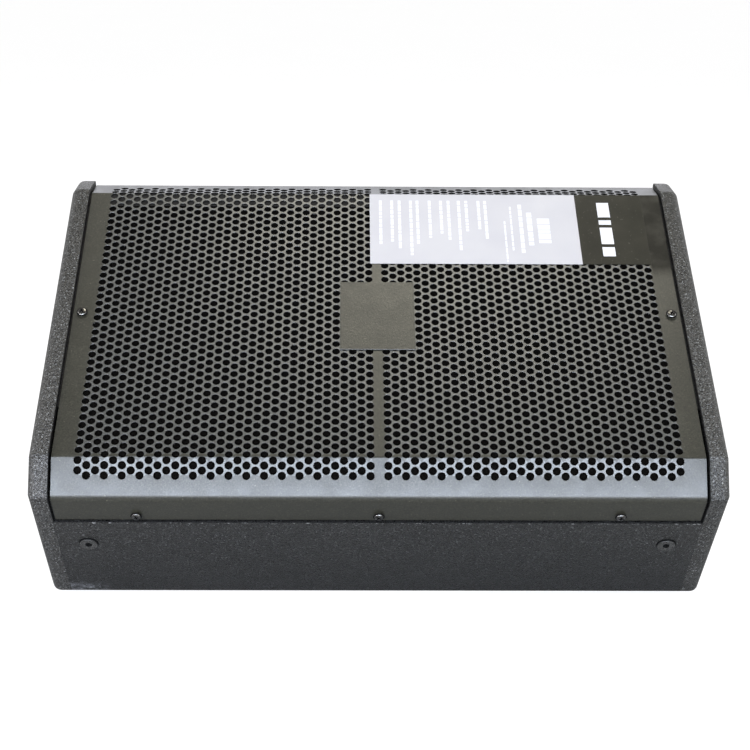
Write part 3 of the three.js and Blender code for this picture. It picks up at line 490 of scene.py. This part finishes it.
COATING = (0.0235, 0.0221, 0.0194)
PAINT = (0.0180, 0.0172, 0.0122)
PAINT_WARM = (0.0210, 0.0198, 0.0138)
MATERIALS = {
    "coating": coating("coating", COATING),
    "black_ply": painted_ply(),
    "grille_paint": grille_paint("grille_paint", PAINT, PAINT_WARM),
    "foam": foam(),
    "screw": screw_metal(),
    "cast_frame": cast_metal(),
    "steel": steel(),
    "magnet": ferrite(),
    "cone_paper": cone_paper(),
    "coil_copper": copper(),
    "cloth": felt("cloth", (0.05, 0.038, 0.022), (0.16, 0.12, 0.075)),
    "plastic": plastic("plastic", (0.012, 0.012, 0.012), (0.024, 0.024, 0.024)),
    "rubber": rubber(),
    "board": board(),
    "lead": plastic("capacitor_film", (0.2, 0.008, 0.008), (0.3, 0.015, 0.012), 0.28, 500),
    "label": film("label_film", (0.350, 0.338, 0.350), (0.364, 0.352, 0.360)),
}
plug_coating = coating("plug_coating", shade(COATING, 1.15))
# The end panels' coating, with their faces towards the grille painted near black as shade.
end_coating_gap_shade = coating("coating_end_panels_gap_shade", COATING, end_panel_gap_shade)
ONE_NODE_MATERIALS = {
    "end_panel_left": end_coating_gap_shade,
    "end_panel_right": end_coating_gap_shade,
    # A darker copy of the coating for the panel that faces the floor: painted shade.
    "lower_front_panel": coating("coating_scuffed_and_shaded", shade(COATING, 0.55), front_panel_marks_and_shade, 0.6),
    "input_plate": plastic("input_plate_paint", (0.030, 0.030, 0.031), (0.042, 0.042, 0.043), 0.38, 700),
}
# A lighter, shinier copy of the grille paint on the webs and hole rims: painted highlight for the light
# caught on their edges.
web_highlight_paint = grille_paint("grille_paint_edges_highlight", (0.037, 0.037, 0.034), (0.041, 0.0405, 0.037), 0.88)
# The hole walls are painted near black: painted shade inside the holes.
hole_wall_shade = plastic("hole_walls_shade", (0.0022, 0.0022, 0.0019), (0.004, 0.0038, 0.0032), 0.8, specular=0.12)
badge_paint = grille_paint("badge_paint", shade(PAINT, 0.9), shade(PAINT_WARM, 0.9), orange_peel=1.0)
label_dark = film("label_dark", (0.012, 0.0113, 0.0075), (0.015, 0.014, 0.0095), 0.45, 0.2)
label_print = film("label_print", (0.53, 0.52, 0.53), (0.50, 0.49, 0.505))

slot_of = {s["node"]: s["material_slot"] for s in frame["record"]["subparts"]}


# ---------------------------------------------------------------- the solids that stay


def soften(obj, angle=35):
    """Smooth shading that keeps edges sharper than the angle, by modifiers only."""
    mesh = obj.data
    if "custom_normal" in mesh.attributes:
        mesh.attributes.remove(mesh.attributes["custom_normal"])
    for polygon in mesh.polygons:
        polygon.use_smooth = True
    weld = obj.modifiers.new("weld", "WELD")
    weld.merge_threshold = 0.00001
    split = obj.modifiers.new("split", "EDGE_SPLIT")
    split.split_angle = math.radians(angle)


for name, obj in nodes.items():
    obj.data.materials.clear()
    obj.data.materials.append(ONE_NODE_MATERIALS.get(name) or MATERIALS[slot_of[name]])
    soften(obj)


# ---------------------------------------------------------------- helpers for new pieces


def piece(name, mesh, materials, replaced, place=None, body="cabinet"):
    """A new piece in place of CAD nodes. A mesh without a place is in the face frame."""
    if place is None:
        mesh.transform(FACE)
    obj = bpy.data.objects.new(name, mesh)
    scene.collection.objects.link(obj)
    obj.matrix_world = place or Matrix()
    if not mesh.materials:
        for material in materials:
            mesh.materials.append(material)
    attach(obj, body)
    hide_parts(*replaced)
    return obj


def smoothed(mesh, angle=30):
    mesh.shade_smooth()
    mesh.set_sharp_from_angle(angle=math.radians(angle))
    return mesh


def mesh_of(name, points, faces, angle=30, kinds=None):
    """A mesh from points in millimetres. kinds gives each face's material number."""
    mesh = bpy.data.meshes.new(name)
    mesh.from_pydata([tuple(c * MM for c in p) for p in points], [], faces)
    if kinds:
        mesh.polygons.foreach_set("material_index", kinds)
    return smoothed(mesh, angle)


def turned(name, profile, sides):
    """A solid of revolution about z from (radius, z) points, which start and end on the axis."""
    points, rings, faces = [], [], []
    for r, z in profile:
        count = sides if r > 0 else 1
        rings.append(range(len(points), len(points) + count))
        for k in range(count):
            a = 2 * math.pi * k / sides
            points.append((r * math.cos(a), r * math.sin(a), z))
    for low, high in zip(rings, rings[1:]):
        for k in range(sides):
            j = (k + 1) % sides
            quad = [low[k % len(low)], low[j % len(low)], high[j % len(high)], high[k % len(high)]]
            faces.append(list(dict.fromkeys(quad)))
    return mesh_of(name, points, faces)


def prism(name, low, high):
    """A closed solid between two outlines of the same number of points."""
    n = len(low)
    faces = [list(reversed(range(n))), list(range(n, 2 * n))]
    faces += [[k, (k + 1) % n, n + (k + 1) % n, n + k] for k in range(n)]
    return mesh_of(name, list(low) + list(high), faces)


def carved(name, body, cutter):
    """The body's mesh less the cutter's."""
    made = [bpy.data.objects.new("carve", m) for m in (body, cutter)]
    for obj in made:
        scene.collection.objects.link(obj)
    cut = made[0].modifiers.new("cut", "BOOLEAN")
    cut.operation = "DIFFERENCE"
    cut.solver = "EXACT"
    cut.object = made[1]
    bpy.context.view_layer.update()
    result = made[0].evaluated_get(bpy.context.evaluated_depsgraph_get())
    mesh = bpy.data.meshes.new_from_object(result)
    mesh.name = name
    for obj in made:
        bpy.data.objects.remove(obj)
    return smoothed(mesh)


def along(p, angle, length):
    return (p[0] + length * math.cos(angle), p[1] + length * math.sin(angle))


# ---------------------------------------------------------------- the perforated grille

# In millimetres and radians: half the main face, the turns at its ends and the strips beyond them, the lower
# flange's end and the upper flange, the sheet, the gap to what lies against it, and half its width.
HALF = 159.5
LOWER_TURN = math.radians(32.5)
UPPER_TURN = math.radians(29.5)
LOWER_STRIP = 36.5
UPPER_STRIP = 32.4
LOWER_FLANGE_END = -51.5
UPPER_FLANGE = 33.0
SHEET = 1.5
GAP = 0.3
GRILLE_X = 281.7
UPRIGHT = math.radians(90) - LEAN
lower_corner = along((-HALF, 0), math.pi + LOWER_TURN, LOWER_STRIP)
upper_corner = along((HALF, 0), -UPPER_TURN, UPPER_STRIP)
grille_line = [
    (lower_corner[0], LOWER_FLANGE_END),
    lower_corner,
    (-HALF, 0),
    (HALF, 0),
    upper_corner,
    along(upper_corner, UPRIGHT, -UPPER_FLANGE),
]
LOWER_BEND = 8.0
BEND = 3.0
BEND_RADII = [None, LOWER_BEND, BEND, BEND, BEND, None]
ARC_STEPS = 7


class Section:
    """A bent line followed by t, its length measured along the sharp corners. Radii round the corners."""

    def __init__(self, points, radii):
        self.points = points
        self.radii = radii
        self.stretches = []
        self.knots = []
        self.corner_t = [0.0]
        for a, b in zip(points, points[1:]):
            self.corner_t.append(self.corner_t[-1] + math.dist(a, b))
        self.length = self.corner_t[-1]
        last = len(points) - 1
        for i in range(last):
            angle = self.angle(i)
            start = self.corner_t[i] + self.reach(i)
            end = self.corner_t[i + 1] - self.reach(i + 1)
            self.stretches.append((start, end, along(points[i], angle, self.reach(i)), angle, 0.0, None))
            if i + 1 < last:
                reach = self.reach(i + 1)
                tangent = along(points[i + 1], angle, -reach)
                stop = end + 2 * reach
                self.stretches.append((end, stop, tangent, angle, self.swing(i + 1), radii[i + 1]))
                self.knots += [end + (stop - end) * k / ARC_STEPS for k in range(ARC_STEPS + 1)]

    def angle(self, i):
        (x0, y0), (x1, y1) = self.points[i], self.points[i + 1]
        return math.atan2(y1 - y0, x1 - x0)

    def swing(self, i):
        turn_by = self.angle(i) - self.angle(i - 1)
        return math.atan2(math.sin(turn_by), math.cos(turn_by))

    def reach(self, i):
        """How far a corner's rounding reaches from it."""
        if self.radii[i] is None:
            return 0.0
        return self.radii[i] * abs(math.tan(self.swing(i) / 2))

    def at(self, t, depth=0.0):
        """(v, w) at t, a depth below the line."""
        t = min(max(t, 0.0), self.length)
        start, end, p, angle, swing, radius = next(s for s in self.stretches if t <= s[1] + 1e-9)
        if radius is None:
            p = along(p, angle, t - start)
        else:
            side = math.copysign(math.pi / 2, swing)
            centre = along(p, angle + side, radius)
            angle += swing * (t - start) / (end - start)
            p = along(centre, angle - side, radius)
        return along(p, angle - math.pi / 2, depth)


section = Section(grille_line, BEND_RADII)

# Staggered perforation: holes PITCH apart in a column, and columns COLUMN apart. The middle column and the
# four corner holes are left out, which leaves a solid bar down the grille. Rows count down the sheet, half a
# PITCH apart, and row 0 is BEND_ROW above the lower bend. The shifts are negative: they move the rows of the
# main face, and those by the upper bend, up the sheet. HOLE is a hole's radius behind its rim, and RIM the
# rim's width and depth. A web is a triangle with its corners on holes and no side as long as WEB.
PITCH = 8.8
COLUMN = PITCH * math.sqrt(3) / 2
HOLE = 3.62
RIM = 0.12
SIDES = 11
WEB = 4.4
BEND_ROW = 62.9
COLUMNS = range(-34, 35)
HALF_ROWS = range(-62, 19)
FLAT_ROWS = range(-57, 15)
FLAT_SHIFT = -1.27
BEND_SHIFT = {-58: -0.9, -59: -0.5, -60: -0.2}
# The grille's material numbers.
ON_SHEET, ON_WEB, ON_WALL = 0, 1, 2


def hole_centres():
    """(x, t) of each hole's middle."""
    for column in COLUMNS:
        for row in HALF_ROWS:
            staggered = (column + row) % 2 == 1
            corner = abs(column) == COLUMNS[-1] and row in (HALF_ROWS[0], HALF_ROWS[-1])
            if column == 0 or not staggered or corner:
                continue
            shift = FLAT_SHIFT if row in FLAT_ROWS else BEND_SHIFT.get(row, 0.0)
            yield column * COLUMN, section.corner_t[2] + BEND_ROW - row * PITCH / 2 - shift


class HoleFinder:
    """Finds the hole that a point of the sheet's pattern lies on."""

    CELL = 10.0
    SLACK = 0.05

    def __init__(self, centres):
        self.cells = {}
        for c in centres:
            self.cells.setdefault(self.key(c), []).append(c)

    def key(self, p):
        return round(p[0] / self.CELL), round(p[1] / self.CELL)

    def at(self, p):
        kx, kt = self.key(p)
        for i in (-1, 0, 1):
            for j in (-1, 0, 1):
                for c in self.cells.get((kx + i, kt + j), ()):
                    if math.dist(c, p) < HOLE + RIM + self.SLACK:
                        return c
        return None


def grille_pattern(centres):
    """The flat sheet as triangles round its holes, cut along the bends."""
    top = section.length
    points = [(-GRILLE_X, 0.0), (GRILLE_X, 0.0), (GRILLE_X, top), (-GRILLE_X, top)]
    edges = []
    faces = [[0, 1, 2, 3]]
    for x, t in centres:
        first = len(points)
        for k in range(SIDES):
            points.append(along((x, t), 2 * math.pi * (k + 0.5) / SIDES, HOLE + RIM))
        faces.append(list(range(first, first + SIDES)))
    for t in section.knots:
        edges.append((len(points), len(points) + 1))
        points += [(-GRILLE_X, t), (GRILLE_X, t)]
    flat, _, tris, _, _, owners = delaunay_2d_cdt([Vector(p) for p in points], edges, faces, 0, 1e-6)
    sheet = [f for f, owned in zip(tris, owners) if owned and all(o == 0 for o in owned)]
    return [(p.x, p.y) for p in flat], sheet


def grille_mesh():
    """The bent sheet. Each hole has a narrow rounded rim on the front and a wall to the back."""
    centres = list(hole_centres())
    finder = HoleFinder(centres)
    flat, sheet = grille_pattern(centres)
    directed = {(a, b) for f in sheet for a, b in zip(f, f[1:] + f[:1])}
    free = [(a, b) for a, b in sorted(directed) if (b, a) not in directed]
    used = sorted({i for f in sheet for i in f})
    hole_of = {i: finder.at(flat[i]) for i in used}

    def narrowed(i):
        """The same point on the narrower hole behind the rim."""
        if hole_of[i] is None:
            return flat[i]
        share = HOLE / (HOLE + RIM)
        return tuple(c + (q - c) * share for c, q in zip(hole_of[i], flat[i]))

    solid, spot = [], {}

    def add(key, p, depth):
        spot[key] = len(solid)
        solid.append((p[0], *section.at(p[1], depth)))

    for i in used:
        add(("front", i), flat[i], 0)
        add(("back", i), narrowed(i), SHEET)
    for i in sorted({i for edge in free for i in edge}):
        add(("rim", i), narrowed(i), RIM)

    made, kinds = [], []

    def face(corners, kind):
        made.append([spot[c] for c in corners])
        kinds.append(kind)

    for f in sheet:
        longest = max(math.dist(flat[a], flat[b]) for a, b in zip(f, f[1:] + f[:1]))
        between = longest < WEB and all(hole_of[i] for i in f)
        face([("front", i) for i in f], ON_WEB if between else ON_SHEET)
        face([("back", i) for i in reversed(f)], ON_SHEET)
    for a, b in free:
        on_hole = hole_of[a] is not None
        face([("front", b), ("front", a), ("rim", a), ("rim", b)], ON_WEB if on_hole else ON_SHEET)
        face([("rim", b), ("rim", a), ("back", a), ("back", b)], ON_WALL if on_hole else ON_SHEET)
    return mesh_of("grille_perforated", solid, made, angle=28, kinds=kinds)


grille_paints = [MATERIALS["grille_paint"], web_highlight_paint, hole_wall_shade]
piece("grille_perforated", grille_mesh(), grille_paints, ["grille"])


# ---------------------------------------------------------------- foam behind the grille

FOAM = 5.0
FOAM_X = 267.1
FOAM_TOP = 143.7
FOAM_LIP = 24.0
FOAM_STEP = 3.0
FOAM_RELIEF = 0.35
FOAM_DEPTH = SHEET + GAP
FOAM_BEND = 9.0
# The lumps: coarse and fine noise, the share of the fine, what is added to both, and their slices of noise.
COARSE = 0.19
FINE = 0.55
FINE_SHARE = 0.6
LUMP_BASE = 1.2
COARSE_SLICES = (0, 40)
FINE_SLICE = 9


def foam_mesh():
    """A sheet of foam with a lumpy open-cell face, bent over the lower bend and bonded behind the grille."""
    bend = (-HALF + FOAM_DEPTH * math.tan(LOWER_TURN / 2), -FOAM_DEPTH)
    end = along(bend, math.pi + LOWER_TURN, FOAM_LIP)
    line = Section([end, bend, (FOAM_TOP, -FOAM_DEPTH)], [None, FOAM_BEND, None])
    columns = round(2 * FOAM_X / FOAM_STEP)
    rows = round(line.length / FOAM_STEP)
    points, faces = [], []
    for back in (0, 1):
        for j in range(rows + 1):
            for i in range(columns + 1):
                x = -FOAM_X + 2 * FOAM_X * i / columns
                t = line.length * j / rows
                coarse = noise.noise(Vector((x, t, COARSE_SLICES[back])) * COARSE)
                lumps = coarse + FINE_SHARE * noise.noise(Vector((x, t, FINE_SLICE)) * FINE)
                depth = FOAM * back + (1 - 2 * back) * FOAM_RELIEF * (LUMP_BASE + lumps) / 2
                points.append((x, *line.at(t, depth)))
    width = columns + 1
    layer = width * (rows + 1)
    for j in range(rows):
        for i in range(columns):
            a = j * width + i
            quad = [a, a + 1, a + width + 1, a + width]
            faces.append(quad)
            faces.append([layer + k for k in reversed(quad)])
    border = list(range(columns))
    border += [j * width + columns for j in range(rows)]
    border += [rows * width + i for i in range(columns, 0, -1)]
    border += [j * width for j in range(rows, 0, -1)]
    for a, b in zip(border, border[1:] + border[:1]):
        faces.append([b, a, layer + a, layer + b])
    return mesh_of("foam_sheet", points, faces, angle=60)


foam_sheet = piece("foam_sheet", foam_mesh(), [MATERIALS["foam"]], ["grille_foam"])


# ---------------------------------------------------------------- badge plate and label


def slab(x, v, w, bevel):
    """A plate's points and faces, its upper edges bevelled."""

    def ring(d, height):
        return [
            (x[0] + d, v[0] + d, height),
            (x[1] - d, v[0] + d, height),
            (x[1] - d, v[1] - d, height),
            (x[0] + d, v[1] - d, height),
        ]

    points = ring(0, w[0]) + ring(0, w[1] - bevel)
    if bevel:
        points += ring(bevel, w[1])
    last = len(points) - 4
    faces = [[3, 2, 1, 0], [last, last + 1, last + 2, last + 3]]
    for base in range(0, last, 4):
        faces += [[base + k, base + (k + 1) % 4, base + 4 + (k + 1) % 4, base + 4 + k] for k in range(4)]
    return points, faces


BADGE_X, BADGE_V = 34.3, 41.0
BADGE_TOP = 1.3
BADGE_BEVEL = 0.25
badge_points, badge_faces = slab((-BADGE_X, BADGE_X), (-BADGE_V, BADGE_V), (GAP, BADGE_TOP), BADGE_BEVEL)
badge_mesh = mesh_of("badge", badge_points, badge_faces, angle=20)
piece("badge", badge_mesh, [badge_paint], ["badge_plate"])

LABEL_X = (-6.0, 263.3)
LABEL_SPLIT = 197.5
LABEL_V = (65.5, 158.8)
FILM_TOP = GAP + 0.33
PRINT_TOP = GAP + 0.38
# The greeked lines run down the label. A line of text is given by its x, a heading by its x, width, start
# and end, and a block of the dark end by its start and end.
LINES_X = [4.6, 15.8, 23.2, 34.4, 40.9, 53.0, 64.2, 71.7, 81.9, 89.3, 101.4, 108.0]
HEADING = [
    (126.0, 1.6, 122, 68),
    (132.5, 1.6, 142, 82),
    (142.0, 3.6, 145, 80),
    (150.5, 5.0, 134, 90),
    (164.0, 12.0, 126, 93),
]
LINE_WIDTH = 2.8
LINE_START = 150.0
LINE_ENDS = (72, 112)
WORD_LENGTHS = (3.0, 9.0)
WORD_GAP = 1.1
SHORTEST_WORD = 2
BLOCKS_X = (218.5, 230.5)
BLOCKS = [(148, 128), (124, 118), (114, 92), (88, 76)]
# The label's material numbers.
ON_FILM, ON_DARK, ON_PRINT = 0, 1, 2


def label_mesh():
    """Two-tone film with greeked lines: bars that stand for words, and plain blocks on the dark end."""
    draw = random.Random(12)
    points, faces, kinds = [], [], []

    def add(x, v, w, kind):
        made, around = slab(x, v, w, 0.0)
        for f in around:
            faces.append([len(points) + k for k in f])
            kinds.append(kind)
        points.extend(made)

    def words(x, width, start, end):
        v = start
        while v - end > SHORTEST_WORD:
            length = min(draw.uniform(*WORD_LENGTHS), v - end)
            add((x - width / 2, x + width / 2), (v - length, v), (FILM_TOP, PRINT_TOP), ON_PRINT)
            v -= length + WORD_GAP

    add((LABEL_X[0], LABEL_SPLIT), LABEL_V, (GAP, FILM_TOP), ON_FILM)
    add((LABEL_SPLIT, LABEL_X[1]), LABEL_V, (GAP, FILM_TOP), ON_DARK)
    for x in LINES_X:
        words(x, LINE_WIDTH, LINE_START, draw.uniform(*LINE_ENDS))
    for x, width, start, end in HEADING:
        words(x, width, start, end)
    for start, end in BLOCKS:
        add(BLOCKS_X, (end, start), (FILM_TOP, PRINT_TOP), ON_PRINT)
    return mesh_of("label", points, faces, angle=20, kinds=kinds)


label_films = [MATERIALS["label"], label_dark, label_print]
piece("label", label_mesh(), label_films, ["spec_label"])


# ---------------------------------------------------------------- screws

# The CAD screw's shank and head, from the seat under its head, and the profile about the same seat.
SCREW_LENGTH = 9.0
SCREW_HEAD = 2.6
SCREW_PROFILE = [
    (0, -9.0), (0.8, -9.0), (1.9, -7.6), (1.9, 0.0), (5.0, 0.0), (5.0, 0.3), (4.8, 0.4), (4.4, 0.3),
    (4.35, 0.75), (4.15, 1.15), (3.7, 1.5), (3.0, 1.78), (2.0, 1.93), (0, 2.0),
]
# The recess: an arm's length and half its width at the top, its floor and top, and its taper. The heights and
# radii after them tell the black ring round the head, painted shade, and the recess from the rest of the
# head.
CROSS = 2.9
CROSS_HALF = 0.8
CROSS_FLOOR = 0.5
CROSS_TOP = 3.0
CROSS_TAPER = 0.5
SHADE_RING_R = 4.3
SHADE_RING_TOP = 0.6
RECESS_R = CROSS + 0.1
RECESS_Z = (0.3, 1.7)


def cross_cutter():
    """A cross whose arms narrow with depth."""
    outline = []
    for quarter in range(4):
        a = quarter * math.pi / 2
        for x, y in ((CROSS, -CROSS_HALF), (CROSS, CROSS_HALF), (CROSS_HALF, CROSS_HALF)):
            outline.append((x * math.cos(a) - y * math.sin(a), x * math.sin(a) + y * math.cos(a)))
    low = [(CROSS_TAPER * x, CROSS_TAPER * y, CROSS_FLOOR) for x, y in outline]
    high = [(x, y, CROSS_TOP) for x, y in outline]
    return prism("cross", low, high)


def screw_mesh():
    """A cross-recess pan head on a black ring that stands for the shadow round it. The ring and the recess
    are painted near black as shade.
    """
    head = turned("pan_head", SCREW_PROFILE, sides=40)
    mesh = carved("pan_head_screw", head, cross_cutter())
    for polygon in mesh.polygons:
        x, y, z = polygon.center / MM
        r = math.hypot(x, y)
        if r > SHADE_RING_R and 0 <= z < SHADE_RING_TOP:
            polygon.material_index = 1
        elif r < RECESS_R and RECESS_Z[0] < z < RECESS_Z[1]:
            polygon.material_index = 2
    return mesh


def set_out(name, node, mesh, materials, out, twist, length, head):
    """A turned piece on the axis of its CAD node, its z along out."""
    low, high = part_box(node)
    seat = (low + high) / 2 + out * (length - head) / 2 * MM
    across = Vector((1, 0, 0))
    basis = Matrix((across, out.cross(across), out)).transposed().to_4x4()
    place = Matrix.Translation(seat) @ basis @ Matrix.Rotation(math.radians(twist), 4, "Z")
    return piece(name, mesh, materials, [node], place)


# Near-black paints: painted shade for the ring under each screw head, the plugs' groove and socket, and the
# cross recess.
black_shade_paint = plastic("black_shade_paint", (0.0015, 0.0015, 0.0015), (0.003, 0.003, 0.0028), 0.85, specular=0.15)
recess_shade_paint = plastic("recess_shade_paint", (0.001, 0.001, 0.001), (0.002, 0.002, 0.0018), 0.85, specular=0.1)
screw = screw_mesh()
screw_materials = [MATERIALS["screw"], black_shade_paint, recess_shade_paint]
OUT_FRONT = FACE_TURN.to_3x3() @ Vector((0, -1, 0))
OUT_FACE = FACE_TURN.to_3x3() @ Vector((0, 0, 1))
OUT_BACK = Vector((0, 1, 0))
SCREWS = [
    ("grille_screw_lower_left", OUT_FRONT, 20),
    ("grille_screw_lower_middle", OUT_FRONT, 48),
    ("grille_screw_lower_right", OUT_FRONT, 5),
    ("grille_screw_upper_left", OUT_BACK, 33),
    ("grille_screw_upper_middle", OUT_BACK, 70),
    ("grille_screw_upper_right", OUT_BACK, 12),
    ("grille_screw_side_left", OUT_FACE, 30),
    ("grille_screw_side_right", OUT_FACE, 62),
    ("input_plate_screw_1", OUT_BACK, 10),
    ("input_plate_screw_2", OUT_BACK, 55),
    ("input_plate_screw_3", OUT_BACK, 38),
    ("input_plate_screw_4", OUT_BACK, 76),
]
for node, out, twist in SCREWS:
    name = "pan_head_" + node
    set_out(name, node, screw, screw_materials, out, twist, SCREW_LENGTH, SCREW_HEAD)

# Rigging plugs: flat heads with a hexagon socket, their chamfer worn in places and painted with pale spots as
# highlights.
# The CAD plug's depth, the profile below its face, the socket, and where its chamfer and socket lie.
PLUG_DEPTH = 23.8
PLUG_PROFILE = [
    (0, -23.8), (4.4, -23.8), (5.0, -22.8), (5.0, -2.8), (8.4, -2.8), (8.4, -0.5), (8.15, -0.5), (8.1, -0.3),
    (7.85, 0), (0, 0),
]
SOCKET_R = 3.4
SOCKET_DEPTH = 5.8
CHAMFER_R = (7.8, 8.1)
CHAMFER_Z = (-0.3, -0.01)


def plug_mesh():
    """The head, with materials of their own for its chamfer, with painted highlights, and for the groove and
    the socket, painted near black as shade.
    """
    angles = [k * math.pi / 3 for k in range(6)]
    hexagon = [(SOCKET_R * math.cos(a), SOCKET_R * math.sin(a)) for a in angles]
    cutter = prism("hexagon", [(x, y, -SOCKET_DEPTH) for x, y in hexagon], [(x, y, 1.0) for x, y in hexagon])
    mesh = carved("rigging_plug", turned("plug", PLUG_PROFILE, sides=48), cutter)
    for polygon in mesh.polygons:
        x, y, z = polygon.center / MM
        r = math.hypot(x, y)
        in_socket = r < SOCKET_R + 0.2 and -SOCKET_DEPTH - 0.1 < z < CHAMFER_Z[1]
        if CHAMFER_R[0] < r < CHAMFER_R[1] and CHAMFER_Z[0] < z < CHAMFER_Z[1]:
            polygon.material_index = 1
        elif in_socket or r > CHAMFER_R[1]:
            polygon.material_index = 2
    return mesh


def worn_chamfer_glints():
    """Coating rubbed through in a few places, where pale spots are painted in as highlights."""
    m = Nodes("worn_chamfer_glints", COATING, 0.45)
    bare_glints = m.spread(m.noise(260, 2, 0.6), 0.56, 0.62)
    m.colour(m.mix(bare_glints, shade(COATING, 0.6), (0.6, 0.6, 0.58)))
    m.roughness(m.spread(bare_glints, 0, 1, 0.5, 0.3))
    m.bump(m.noise(1200, 2), 0.0002, 0.6)
    return m.material


plug = plug_mesh()
plug_materials = [plug_coating, worn_chamfer_glints(), black_shade_paint]
for side, twist in (("left", 18), ("right", 41)):
    node = "rigging_plug_front_" + side
    set_out("flush_" + node, node, plug, plug_materials, OUT_FRONT, twist, PLUG_DEPTH, 0)


# ---------------------------------------------------------------- floor

FLOOR_HALF = 30


def floor_plane(name, z):
    mesh = bpy.data.meshes.new(name)
    corners = [(x * FLOOR_HALF, y * FLOOR_HALF, z) for x, y in ((-1, -1), (1, -1), (1, 1), (-1, 1))]
    mesh.from_pydata(corners, [], [(0, 1, 2, 3)])
    obj = bpy.data.objects.new(name, mesh)
    scene.collection.objects.link(obj)
    return obj


def floor_paper(name, dark, light):
    m = Nodes(name, light, 0.9, 0.0, 0.1)
    m.colour(m.mix(m.noise(3, 3), dark, light))
    return m


# What the camera sees is bright paper. Just below it, a greyer floor sends light up onto the object.
seen = floor_plane("floor", 0.0)
paper = floor_paper("floor_paper", (0.22, 0.22, 0.22), (0.25, 0.25, 0.25))
paper.shader.inputs["Emission Color"].default_value = (1, 1, 1, 1)
paper.shader.inputs["Emission Strength"].default_value = 0.85
seen.data.materials.append(paper.material)
seen.visible_diffuse = False
seen.visible_glossy = False
seen.visible_transmission = False
seen.visible_shadow = False
below = floor_plane("floor_below", -0.001)
below.data.materials.append(floor_paper("floor_below_paper", (0.27, 0.27, 0.27), (0.33, 0.33, 0.33)).material)
below.visible_camera = False
